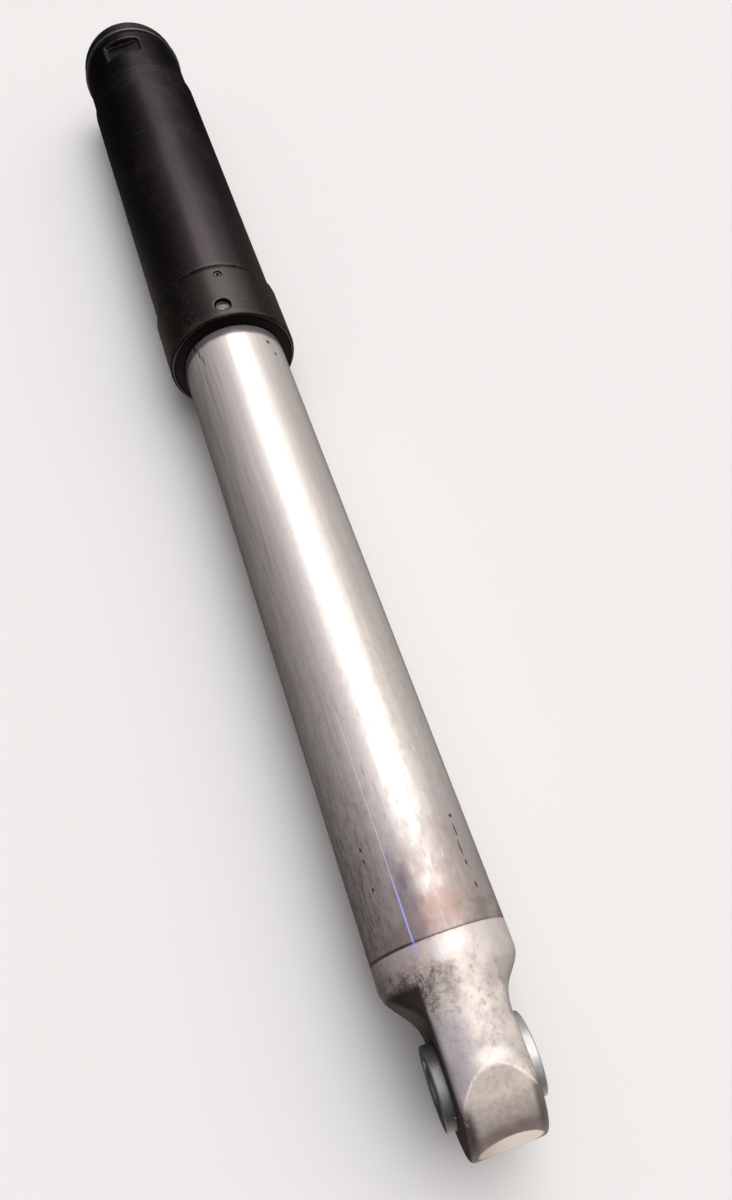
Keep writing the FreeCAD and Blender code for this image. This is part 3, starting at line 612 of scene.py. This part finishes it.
class Skin:
    """A new material: its tree, its shader, its colour so far, and where a point lies in millimetres."""

    def __init__(self, name, metallic=0.0, specular=0.5, sheen=(1.0, 1.0, 1.0)):
        self.material = bpy.data.materials.new(name)
        self.material.use_nodes = True
        self.tree = self.material.node_tree
        self.shader = self.tree.nodes["Principled BSDF"]
        self.shader.inputs["Metallic"].default_value = metallic
        self.shader.inputs["Specular IOR Level"].default_value = specular
        self.shader.inputs["Specular Tint"].default_value = (*sheen, 1.0)
        where = put(self.tree, "ShaderNodeTexCoord").outputs["Object"]
        self.place = put(self.tree, "ShaderNodeVectorMath", {"operation": "SCALE"}, i0=where,
                         Scale=1 / MM).outputs[0]
        split = put(self.tree, "ShaderNodeSeparateXYZ", Vector=self.place)
        self.x, self.y, self.z = split.outputs
        self.turn = maths(self.tree, "MULTIPLY", maths(self.tree, "ARCTAN2", self.y, self.z), math.degrees(1))
        self.colour = None

    def noise(self, size, seed, stretch=(1, 1, 1), detail=4.0, roughness=0.55):
        """Cloudy noise from 0 to 1 with lumps about size millimetres across."""
        scaled = put(self.tree, "ShaderNodeVectorMath", {"operation": "MULTIPLY_ADD"}, i0=self.place,
                     i1=tuple(part / size for part in stretch), i2=(seed, 1.7 * seed, -seed)).outputs[0]
        item = put(self.tree, "ShaderNodeTexNoise", Vector=scaled, Scale=1.0, Detail=detail,
                   Roughness=roughness)
        return item.outputs[0]

    def patch(self, x, turn, half_length, half_turn, ragged=0.0, size=6.0, soft=0.35, seed=3.0):
        """1 inside an ellipse at a station and a turn in degrees about X, falling softly to 0 outside."""
        along = maths(self.tree, "DIVIDE", maths(self.tree, "SUBTRACT", self.x, x), half_length)
        across = maths(self.tree, "DIVIDE", maths(self.tree, "SUBTRACT", self.turn, turn), half_turn)
        away = self.length(along, across)
        if ragged:
            wobble = maths(self.tree, "SUBTRACT", self.noise(size, seed), 0.5)
            away = maths(self.tree, "MULTIPLY_ADD", wobble, ragged, away)
        return between(self.tree, away, 1 - soft, 1 + soft, 1.0, 0.0)

    def length(self, first, second):
        """The length of the diagonal over two values."""
        squares = [maths(self.tree, "MULTIPLY", value, value) for value in (first, second)]
        return maths(self.tree, "SQRT", maths(self.tree, "ADD", *squares))

    def near(self, value, centre, half_width, soft):
        """1 where a value is near its centre, falling to 0 over soft outside half_width."""
        away = maths(self.tree, "ABSOLUTE", maths(self.tree, "SUBTRACT", value, centre))
        return between(self.tree, away, half_width, half_width + soft, 1.0, 0.0)

    def both(self, first, second):
        """The product of two masks."""
        return maths(self.tree, "MULTIPLY", first, second)

    def either(self, first, second):
        """The larger of two masks."""
        return maths(self.tree, "MAXIMUM", first, second)

    def lay(self, mask, shade, amount=1.0):
        """Lay a shade over the colour so far where the mask is 1, as strongly as amount."""
        if amount < 1.0:
            mask = self.both(mask, amount)
        self.colour = mixed(self.tree, mask, self.colour, shade)

    def finish(self, roughness, height, strength, distance):
        """Connect the colour, the roughness and a bump from a height."""
        self.tree.links.new(self.colour, self.shader.inputs["Base Color"])
        self.tree.links.new(roughness, self.shader.inputs["Roughness"])
        bump = put(self.tree, "ShaderNodeBump", Strength=strength, Distance=distance * MM, Height=height)
        self.tree.links.new(bump.outputs[0], self.shader.inputs["Normal"])
        return self.material


# Small dark dents and specks on the plunger: station, turn about X in degrees, and half sizes of each.
DARK_MARKS = [
    (626.0, -43.2, 1.0, 1.1), (631.0, -43.4, 1.1, 0.7), (643.0, -43.3, 0.8, 0.9), (624.0, 43.0, 0.8, 2.0),
    (630.5, 42.2, 3.0, 0.9), (638.5, 40.4, 3.4, 0.8), (644.5, 40.7, 1.2, 1.0), (654.0, 42.6, 1.4, 1.2),
    (334.5, 40.6, 1.4, 2.2), (342.5, 46.6, 1.2, 1.6), (326.0, -46.0, 2.8, 1.4), (331.0, -42.5, 4.0, 0.8),
    (338.0, -39.5, 4.5, 0.7),
]


def lay_grinding(skin, fine, streaks):
    """The plunger's ground steel: pale and darker streaks along it, darkest low on the left."""
    tree = skin.tree
    broad = skin.noise(40.0, 3.0, stretch=(0.5, 1, 1), detail=3.0)
    skin.colour = mixed(tree, between(tree, streaks, 0.35, 0.68), (0.66, 0.635, 0.62), (0.57, 0.54, 0.53))
    skin.lay(between(tree, broad, 0.4, 0.7), (0.55, 0.50, 0.52), 0.5)
    skin.lay(between(tree, fine, 0.52, 0.72), (0.40, 0.36, 0.36), 0.35)
    left = between(tree, skin.turn, -20.0, -48.0)
    skin.lay(skin.both(left, between(tree, fine, 0.46, 0.66, 0.1, 0.55)), (0.22, 0.185, 0.175))


def lay_handling(skin):
    """Dull mottling and fine dark hairs that grow towards the seam. Returns where it is dull."""
    tree = skin.tree
    mottle = skin.noise(3.2, 8.0, stretch=(0.6, 1, 1), detail=6.0, roughness=0.7)
    dull = skin.both(between(tree, skin.x, 380.0, 640.0, 0.25, 1.0), between(tree, mottle, 0.46, 0.66))
    skin.lay(dull, (0.40, 0.345, 0.325), 0.5)
    hairs = skin.noise(1.1, 9.0, stretch=(0.11, 1, 1), detail=2.0)
    hairs = skin.both(between(tree, hairs, 0.66, 0.72), between(tree, skin.x, 480.0, 620.0, 0.1, 0.8))
    skin.lay(hairs, (0.17, 0.14, 0.135), 0.6)
    skin.lay(between(tree, skin.x, 600.0, 656.0), (0.43, 0.385, 0.385), 0.75)
    return dull


def lay_weld_stains(skin):
    """Stains just behind the seam. Returns where it is burnt, violet and smeared."""
    tree = skin.tree
    crackle = skin.noise(2.4, 5.0, stretch=(0.35, 1, 1), detail=6.0, roughness=0.75)
    burnt = skin.both(skin.patch(640.0, -66.0, 42.0, 42.0, ragged=1.6, size=12.0, soft=0.6),
                      between(tree, crackle, 0.42, 0.66))
    skin.lay(burnt, (0.10, 0.08, 0.075), 0.7)
    violet = skin.patch(655.0, -17.0, 19.0, 9.0, ragged=1.2, size=5.0, soft=0.5)
    skin.lay(violet, (0.125, 0.105, 0.165), 0.85)
    smear = skin.both(skin.patch(652.0, 10.0, 26.0, 36.0, ragged=1.7, size=11.0, soft=0.7),
                      between(tree, skin.noise(3.0, 10.0, stretch=(0.4, 1, 1), detail=5.0), 0.3, 0.56))
    skin.lay(smear, (0.33, 0.275, 0.265), 0.8)
    light = skin.patch(648.0, 3.0, 4.0, 14.0, ragged=1.4, size=4.0, soft=0.5)
    skin.lay(light, (0.58, 0.53, 0.50), 0.35)
    brown = skin.patch(659.0, 5.0, 7.0, 20.0, ragged=1.2, size=5.0, soft=0.6)
    skin.lay(brown, (0.33, 0.225, 0.20), 0.85)
    heat = skin.both(skin.near(skin.x, 664.0, 3.5, 3.0), between(tree, skin.noise(7.0, 6.0), 0.35, 0.6))
    skin.lay(heat, (0.25, 0.19, 0.18), 0.6)
    return burnt, violet, smear


def lay_ends(skin):
    """The dark seam at one end of the plunger and a band of painted shade where it leaves the collar."""
    tree = skin.tree
    seam = skin.both(skin.near(skin.x, SEAM, 0.4, 0.6), between(tree, skin.turn, -8.0, -34.0, 0.25, 0.85))
    skin.lay(seam, SEAM_SHADE)
    # Painted shade: a ragged darker band on the plunger next to the collar.
    ragged_x = maths(tree, "MULTIPLY_ADD", skin.noise(12.0, 18.0), 3.0, skin.x)
    skin.lay(skin.near(ragged_x, 326.0, 3.0, 2.5), (0.15, 0.125, 0.14), 0.85)


def lay_reflection_line(skin):
    """A painted reflection: the thin violet line along the plunger with a near-white core, bluer and wider
    towards the seam.
    """
    tree = skin.tree
    drift = maths(tree, "MULTIPLY_ADD", skin.noise(60.0, 7.0), 2.4, -1.2)
    offset = maths(tree, "SUBTRACT", maths(tree, "SUBTRACT", skin.turn, drift), REFLECTION_LINE_TURN)
    offset = maths(tree, "ABSOLUTE", offset)
    width = between(tree, skin.x, 628.0, 655.0, 0.7, 1.5)
    # Painted reflection: a thin line along the plunger, near white at its core.
    line = skin.both(between(tree, maths(tree, "DIVIDE", offset, width), 1.0, 0.3),
                     skin.near(skin.x, 621.0, 50.0, 12.0))
    blue = mixed(tree, between(tree, skin.x, 620.0, 655.0), (0.80, 0.77, 0.95), (0.30, 0.36, 1.0))
    core = skin.both(between(tree, offset, 0.4, 0.1), between(tree, skin.x, 630.0, 655.0))
    skin.lay(line, mixed(tree, core, blue, (0.85, 0.92, 1.0)), 0.8)


def lay_marks(skin):
    """The dark dented spots and specks. Returns where they are."""
    marks = None
    for x, turn, half_length, half_turn in DARK_MARKS:
        mark = skin.patch(x, turn, half_length, half_turn, ragged=0.9, size=1.5, soft=0.25, seed=x)
        marks = mark if marks is None else skin.either(marks, mark)
    skin.lay(marks, (0.02, 0.017, 0.017), 0.9)
    return marks


def plunger_steel():
    """Satin ground steel with lengthwise streaks, stains towards the weld and a few dark marks."""
    skin = Skin("plunger_steel", metallic=0.45, specular=0.5)
    tree = skin.tree
    fine = skin.noise(0.9, 1.0, stretch=(0.02, 1, 1), detail=5.0, roughness=0.7)
    streaks = skin.noise(4.0, 2.0, stretch=(0.03, 1, 1), detail=3.0)
    grain = skin.noise(0.5, 4.0, detail=2.0)
    lay_grinding(skin, fine, streaks)
    dull = lay_handling(skin)
    burnt, violet, smear = lay_weld_stains(skin)
    lay_ends(skin)
    lay_reflection_line(skin)
    marks = lay_marks(skin)
    roughness = maths(tree, "MULTIPLY_ADD", streaks, 0.18, 0.13)
    roughness = maths(tree, "MULTIPLY_ADD", grain, 0.06, roughness)
    roughness = maths(tree, "MULTIPLY_ADD", skin.either(dull, smear), 0.16, roughness)
    stained = skin.either(skin.either(marks, burnt), violet)
    roughness = maths(tree, "MULTIPLY_ADD", stained, 0.25, roughness)
    height = maths(tree, "MULTIPLY_ADD", fine, 0.6, skin.both(grain, 0.25))
    return skin.finish(roughness, height, strength=0.12, distance=0.03)


def black_coat(name, base, shine, worn, wear, sheen):
    """Satin black coating with a sheen, cloudy rubbing and fine scratches round it."""
    skin = Skin(name, specular=shine, sheen=sheen)
    tree = skin.tree
    cloud = skin.noise(22.0, 11.0, stretch=(0.5, 1, 1), detail=4.0)
    speck = skin.noise(1.3, 12.0, detail=3.0, roughness=0.7)
    rings = skin.noise(1.0, 13.0, stretch=(1.0, 0.04, 0.04), detail=3.0)
    rub = between(tree, maths(tree, "MULTIPLY_ADD", speck, 0.5, skin.both(cloud, 0.5)), 0.5, 0.66)
    skin.colour = mixed(tree, cloud, base, tuple(1.8 * part for part in base))
    skin.lay(rub, worn, wear)
    roughness = maths(tree, "MULTIPLY_ADD", cloud, 0.16, 0.15)
    roughness = maths(tree, "MULTIPLY_ADD", rub, 0.10, roughness)
    height = maths(tree, "MULTIPLY_ADD", rings, 0.5, skin.both(speck, 0.5))
    return skin, roughness, height


def barrel_black():
    """The barrel's coat, lightly scratched, with turned lines near the head and chipped end edges."""
    skin, roughness, height = black_coat("barrel_black", (0.0012, 0.0010, 0.0011), 0.37,
                                         (0.0085, 0.0062, 0.0068), 0.7, (1.0, 0.76, 0.88))
    tree = skin.tree
    scratched = skin.both(between(tree, skin.noise(0.7, 14.0, stretch=(1, 0.05, 0.05)), 0.60, 0.72),
                          between(tree, skin.noise(26.0, 15.0), 0.48, 0.62))
    skin.lay(scratched, (0.05, 0.045, 0.047), 0.5)
    rings = skin.noise(1.6, 16.0, stretch=(1, 0.01, 0.01), detail=1.0)
    turned_lines = skin.both(skin.near(skin.x, 72.0, 10.0, 4.0), between(tree, rings, 0.5, 0.6))
    skin.lay(turned_lines, (0.02, 0.018, 0.019), 0.35)
    edge = skin.either(skin.near(skin.x, 62.3, 0.3, 0.5), skin.near(skin.x, 277.6, 0.3, 0.5))
    chipped = skin.both(edge, between(tree, skin.noise(3.0, 17.0), 0.4, 0.6))
    skin.lay(chipped, (0.04, 0.034, 0.034), 0.5)
    return skin.finish(roughness, height, strength=0.10, distance=0.05)


def cap_black():
    """The head's coat: worn round the pockets and the groove, rougher on the rounded end."""
    skin, roughness, height = black_coat("cap_black", (0.0013, 0.0011, 0.0012), 0.24,
                                         (0.010, 0.0075, 0.0082), 0.8, (1.0, 0.84, 0.90))
    tree = skin.tree
    aside = maths(tree, "MULTIPLY_ADD", skin.y, math.cos(POCKET_TURN),
                  skin.both(skin.z, math.sin(POCKET_TURN)))
    along = maths(tree, "ABSOLUTE", maths(tree, "SUBTRACT", skin.x, POCKET_STATION))
    gap_x = maths(tree, "SUBTRACT", along, POCKET_HALF_LENGTH)
    gap_y = maths(tree, "SUBTRACT", maths(tree, "ABSOLUTE", aside), POCKET_HALF_WIDTH)
    away = skin.either(gap_x, gap_y)
    worn = skin.both(skin.near(away, 0.2, 0.5, 0.9), between(tree, skin.noise(2.4, 21.0), 0.34, 0.58))
    skin.lay(worn, (0.045, 0.038, 0.038), 0.5)
    pitted = skin.both(between(tree, skin.x, 15.0, 9.0), between(tree, skin.noise(1.1, 22.0), 0.5, 0.62))
    skin.lay(pitted, (0.03, 0.026, 0.027), 0.7)
    rim = skin.either(skin.near(skin.x, 14.5, 0.3, 0.4), skin.near(skin.x, 18.0, 0.3, 0.4))
    rim = skin.either(rim, skin.near(skin.x, 61.6, 0.2, 0.4))
    skin.lay(skin.both(rim, between(tree, skin.noise(3.0, 23.0), 0.4, 0.6)), (0.06, 0.053, 0.052), 0.7)
    roughness = maths(tree, "MULTIPLY_ADD", between(tree, skin.x, 16.0, 8.0), 0.16, roughness)
    return skin.finish(roughness, maths(tree, "ADD", pitted, height), strength=0.16, distance=0.08)


def collar_black():
    """The collar's coat, rubbed brown, with bright wear at its edges and round the spanner holes, painted
    shade on the holes' walls and painted light on their bare floors.
    """
    skin, roughness, height = black_coat("collar_black", (0.0014, 0.0012, 0.0011), 0.38,
                                         (0.040, 0.032, 0.026), 0.9, (1.0, 0.92, 0.85))
    tree = skin.tree
    nearer = maths(tree, "MINIMUM", maths(tree, "ABSOLUTE", skin.y), maths(tree, "ABSOLUTE", skin.z))
    hole = skin.length(maths(tree, "SUBTRACT", skin.x, HOLE_STATION), nearer)
    ragged = skin.noise(2.0, 31.0)
    worn = (0.06, 0.05, 0.043)
    edges = skin.either(skin.near(skin.x, BEVEL_START, 0.4, 0.6), skin.near(skin.x, 281.5, 0.3, 0.6))
    edges = skin.both(edges, between(tree, ragged, 0.34, 0.62))
    skin.lay(edges, worn, 0.35)
    skin.lay(skin.both(skin.near(hole, 4.9, 0.35, 0.6), between(tree, ragged, 0.36, 0.6)), worn, 0.5)
    # Painted shade: the spanner holes' walls nearly black.
    skin.lay(skin.near(hole, 4.2, 0.5, 0.4), (0.0005, 0.0005, 0.0005))
    # The holes' bare metal floors, painted brighter towards the middle as if lit.
    floor = skin.both(between(tree, hole, 3.6, 1.4), between(tree, skin.noise(1.6, 32.0), 0.3, 0.55))
    skin.lay(floor, (0.17, 0.14, 0.12), 0.85)
    roughness = maths(tree, "MULTIPLY_ADD", edges, -0.05, roughness)
    return skin.finish(roughness, height, strength=0.16, distance=0.07)


def lay_shoulder(skin, mottle, grit):
    """The forging's mottled ground, painted highlight on its top and right by the weld, and patchy painted
    shade on its left.
    """
    tree = skin.tree
    skin.lay(between(tree, mottle, 0.52, 0.66), (0.27, 0.215, 0.20), 0.6)
    lavender = skin.both(between(tree, skin.y, 2.0, -9.0), between(tree, skin.x, 690.0, 700.0))
    skin.lay(lavender, (0.36, 0.34, 0.42), 0.5)
    # Painted highlight: a near-white patch on top just past the seam.
    top_highlight_patch = skin.patch(673.0, 2.0, 4.5, 16.0, ragged=1.5, size=5.0, soft=0.6)
    skin.lay(top_highlight_patch, (0.86, 0.84, 0.82), 0.55)
    # Painted highlight: a pale band on the right of the shoulder's top.
    pale = skin.both(between(tree, skin.turn, 8.0, 30.0), between(tree, skin.x, 690.0, 676.0))
    skin.lay(pale, (0.72, 0.68, 0.66), 0.6)
    skin.lay(between(tree, grit, 0.60, 0.72), (0.75, 0.68, 0.65), 0.5)
    pink = skin.patch(672.0, -34.0, 6.0, 26.0, ragged=1.0, size=5.0, soft=0.6)
    skin.lay(pink, (0.56, 0.47, 0.49), 0.6)
    # Painted shade: a patchy dark area on the left of the shoulder, where it ramps down to the lug.
    left_shade_patch = skin.patch(684.5, -46.0, 8.5, 36.0, ragged=1.6, size=6.0, soft=0.6)
    left_shade_patch = skin.both(left_shade_patch, between(tree, maths(tree, "ADD", mottle, grit), 0.86, 1.1, 0.3, 1.0))
    skin.lay(left_shade_patch, (0.085, 0.06, 0.055), 0.85)


def lay_flank_shade(skin, side):
    """Painted shade on the lug's two flat sides, the left one nearly black. Returns where they are."""
    tree = skin.tree
    shaded_flank = skin.both(between(tree, side, 14.6, 16.2), between(tree, skin.x, 680.0, 684.0))
    # Painted shade: the left side nearly black, the right one darker.
    skin.lay(skin.both(shaded_flank, between(tree, skin.y, 0.0, -1.0)), (0.022, 0.016, 0.015), 0.97)
    skin.lay(skin.both(shaded_flank, between(tree, skin.y, 0.0, 1.0)), (0.20, 0.175, 0.165), 0.45)
    return shaded_flank


def lay_nose(skin, cloud, mottle, side, forward):
    """The nose's face, with painted shade low down and at its two sides, under a pale arched crest."""
    tree = skin.tree
    high = maths(tree, "ABSOLUTE", skin.z)
    lift = maths(tree, "MULTIPLY", maths(tree, "ARCTAN2", high, forward), math.degrees(1))
    off_axis = skin.length(skin.y, skin.z)
    ahead = between(tree, forward, -4.0, -2.5)
    face = skin.both(skin.both(ahead, between(tree, off_axis, 29.85, 29.4)), between(tree, side, 15.7, 14.9))
    worn_face = mixed(tree, between(tree, mottle, 0.36, 0.64), (0.54, 0.485, 0.445), (0.45, 0.39, 0.36))
    skin.lay(face, worn_face, 0.85)
    # Painted shade: the face darker as it turns down towards the tip.
    face_shade_low = between(tree, maths(tree, "MULTIPLY_ADD", cloud, 26.0, lift), 74.0, 50.0)
    skin.lay(skin.both(face, face_shade_low), (0.13, 0.09, 0.095), 0.75)
    # Painted shade on the nose's left corner.
    corner = skin.both(between(tree, skin.y, -10.0, -14.0), between(tree, forward, 6.0, 14.0))
    corner = skin.both(corner, between(tree, mottle, 0.3, 0.5, 0.4, 1.0))
    skin.lay(corner, (0.045, 0.032, 0.03), 0.9)
    # Painted shade on the nose's right side.
    rim = skin.both(between(tree, skin.y, 11.2, 13.6), between(tree, forward, 5.0, 11.0))
    skin.lay(rim, (0.10, 0.085, 0.08), 0.8)
    level = maths(tree, "MULTIPLY_ADD", high, NOSE_COSINE, maths(tree, "MULTIPLY", forward, NOSE_SINE))
    crest = skin.both(ahead, skin.near(off_axis, 29.95, 0.1, 0.25))
    crest = skin.both(skin.near(level, 27.95, 0.08, 0.22), crest)
    crest = skin.both(crest, between(tree, mottle, 0.36, 0.6, 0.15, 1.0))
    skin.lay(crest, (0.78, 0.72, 0.69), 0.65)
    apex = skin.patch(714.5, 2.0, 3.0, 13.0, ragged=1.2, size=3.5, soft=0.6)
    skin.lay(apex, (0.80, 0.74, 0.71), 0.6)


def lay_tip(skin):
    """The worn hollow at the tip, painted bright as if lit, with painted shade towards its left. Returns
    where it is.
    """
    tree = skin.tree
    apart = put(tree, "ShaderNodeVectorMath", {"operation": "DISTANCE"}, i0=skin.place, i1=DIMPLE_CENTRE)
    # The worn hollow, painted bright as if lit, with painted shade towards its left.
    polished_and_lit = between(tree, apart.outputs["Value"], DIMPLE_REACH + 0.3, DIMPLE_REACH + 0.12)
    shaded = between(tree, skin.y, -13.0, 4.0)
    skin.lay(polished_and_lit, mixed(tree, shaded, (0.46, 0.38, 0.34), (0.85, 0.77, 0.71)), 0.95)
    return polished_and_lit


def lay_forged_edges(skin, mottle, forward):
    """The lug's pale right edge, the dark seam, and the last of the painted reflection line."""
    tree = skin.tree
    edge = skin.both(skin.near(skin.y, 15.2, 0.7, 0.6), between(tree, skin.x, 700.0, 712.0))
    edge = skin.both(edge, skin.both(between(tree, mottle, 0.34, 0.6), between(tree, forward, 9.0, 4.0)))
    skin.lay(edge, (0.72, 0.66, 0.63), 0.55)
    seam = skin.both(between(tree, skin.x, 668.9, 668.3), between(tree, skin.turn, -8.0, -34.0, 0.15, 0.8))
    skin.lay(seam, SEAM_SHADE)
    # Painted reflection: the end of the thin line, blue here.
    offset = maths(tree, "ABSOLUTE", maths(tree, "SUBTRACT", skin.turn, REFLECTION_LINE_TURN))
    line = skin.both(between(tree, offset, 1.5, 0.4), between(tree, skin.x, 676.0, 669.0))
    skin.lay(line, (0.40, 0.42, 0.95), 0.7)


def forged_steel():
    """Scaled and handled forging steel: mottled brown and lavender, painted highlight and painted shade on
    the shoulder, painted shade on the flat sides and the nose, and a smoother worn tip painted bright as if
    lit.
    """
    skin = Skin("forged_steel", metallic=0.35, specular=0.4)
    tree = skin.tree
    cloud = skin.noise(9.0, 41.0, detail=5.0)
    mottle = skin.noise(2.6, 42.0, detail=5.0, roughness=0.65)
    grit = skin.noise(0.8, 43.0, detail=3.0, roughness=0.7)
    side = maths(tree, "ABSOLUTE", skin.y)
    forward = maths(tree, "SUBTRACT", skin.x, EYE)
    skin.colour = mixed(tree, between(tree, cloud, 0.36, 0.62), (0.40, 0.36, 0.36), (0.56, 0.51, 0.475))
    lay_shoulder(skin, mottle, grit)
    shaded_flank = lay_flank_shade(skin, side)
    lay_nose(skin, cloud, mottle, side, forward)
    polished_and_lit = lay_tip(skin)
    lay_forged_edges(skin, mottle, forward)
    roughness = maths(tree, "MULTIPLY_ADD", mottle, 0.24, 0.36)
    roughness = maths(tree, "MULTIPLY_ADD", polished_and_lit, -0.10, roughness)
    roughness = maths(tree, "MULTIPLY_ADD", shaded_flank, 0.25, roughness)
    height = maths(tree, "MULTIPLY_ADD", grit, 0.5, mottle)
    return skin.finish(roughness, height, strength=0.35, distance=0.25)


def turned_metal(name, colour, dark, metallic=0.8, rough=0.24):
    """Turned metal: fine rings about X, faint clouding and a speckle of dark pits."""
    skin = Skin(name, metallic=metallic)
    tree = skin.tree
    rings = skin.noise(0.6, 51.0, stretch=(1, 0.06, 0.06), detail=3.0)
    cloud = skin.noise(8.0, 52.0)
    pits = between(tree, skin.noise(0.9, 53.0, detail=2.0), 0.66, 0.74)
    skin.colour = mixed(tree, skin.both(between(tree, cloud, 0.35, 0.7), 0.7), colour, dark)
    skin.lay(pits, tuple(0.3 * part for part in dark), 0.6)
    roughness = maths(tree, "MULTIPLY_ADD", rings, 0.14, rough)
    return skin.finish(roughness, rings, strength=0.15, distance=0.04)


def bush_steel():
    """The bushes: cooler grey than the forging, with painted shade low on the flange and over the left bush,
    and small painted glints on it.
    """
    skin = Skin("bush_steel", metallic=0.45)
    tree = skin.tree
    cloud = skin.noise(5.0, 61.0)
    fine = skin.noise(0.7, 62.0, detail=3.0)
    skin.colour = mixed(tree, between(tree, cloud, 0.35, 0.65), (0.50, 0.515, 0.53), (0.38, 0.385, 0.40))
    # Painted shade low on the flange.
    skin.lay(between(tree, skin.x, EYE, 733.0, 0.0, 0.6), (0.10, 0.098, 0.10))
    # Painted shade over the left bush.
    left = between(tree, skin.y, 0.0, -1.0)
    skin.lay(left, (0.085, 0.086, 0.09), 0.75)
    # Painted glints: small bright spots on the left bush.
    painted_glints = skin.both(left, between(tree, skin.noise(4.0, 63.0, detail=1.0), 0.72, 0.75))
    skin.lay(painted_glints, (0.8, 0.8, 0.8))
    roughness = maths(tree, "MULTIPLY_ADD", fine, 0.16, 0.3)
    return skin.finish(roughness, fine, strength=0.12, distance=0.05)


def moulded(name, colour, light, rough=0.5, specular=0.3):
    """Rubber or plastic: a soft colour drift, dust specks and a fine skin."""
    skin = Skin(name, specular=specular)
    tree = skin.tree
    cloud = skin.noise(6.0, 71.0)
    dust = between(tree, skin.noise(0.8, 72.0, detail=3.0), 0.6, 0.72)
    skin.colour = mixed(tree, cloud, colour, light)
    skin.lay(dust, tuple(2.5 * part for part in light), 0.35)
    roughness = maths(tree, "MULTIPLY_ADD", cloud, 0.16, rough)
    return skin.finish(roughness, dust, strength=0.1, distance=0.04)


def dress():
    """Give every new piece and every kept CAD node its material."""
    ring = turned_metal("ring_steel", (0.10, 0.095, 0.10), (0.035, 0.033, 0.036), metallic=0.6, rough=0.26)
    bush = bush_steel()
    rubber = moulded("o_ring_rubber", (0.010, 0.010, 0.010), (0.018, 0.018, 0.018))
    bearing = moulded("bearing_plastic", (0.24, 0.18, 0.12), (0.33, 0.26, 0.19), rough=0.42)
    machined = turned_metal("machined_steel", (0.52, 0.52, 0.52), (0.40, 0.40, 0.41))
    screw = turned_metal("screw_steel", (0.10, 0.095, 0.09), (0.03, 0.028, 0.026))
    wiper = moulded("wiper_rubber", (0.0008, 0.0008, 0.0008), (0.002, 0.0018, 0.0017), specular=0.12)
    polyurethane = moulded("seal_polyurethane", (0.02, 0.07, 0.14), (0.04, 0.11, 0.19), rough=0.25,
                           specular=0.5)
    replaced = {
        "barrel_tube": ("barrel_black", barrel_black()),
        "base_cap": ("barrel_black", cap_black()),
        "base_retaining_ring": ("ring_steel", ring),
        "gland_collar": ("collar_black", collar_black()),
        "gland_lock_screw": ("screw_steel", screw),
        "wiper_seal": ("wiper_rubber", wiper),
        "plunger_tube": ("plunger_steel", plunger_steel()),
        "eye_end": ("forged_steel", forged_steel()),
        "left_bush": ("bush_steel", bush),
        "right_bush": ("bush_steel", bush),
    }
    for node, (slot, material) in replaced.items():
        piece = bpy.data.objects[node + "_shape"]
        piece.data.materials.append(material)
    kept = {
        "base_cap_o_ring": rubber,
        "gland_o_ring": rubber,
        "plug_o_ring": rubber,
        "rod_seal": polyurethane,
        "rod_seal_backup_ring": bearing,
        "guide_ring_front": bearing,
        "guide_ring_rear": bearing,
        "guide_bush": turned_metal("bronze", (0.60, 0.40, 0.20), (0.45, 0.28, 0.13)),
        "stop_ring": ring,
        "plug_retaining_ring": ring,
        "plunger_end_plug": machined,
    }
    for node, material in kept.items():
        for material_slot in nodes[node].material_slots:
            material_slot.material = material


dress()
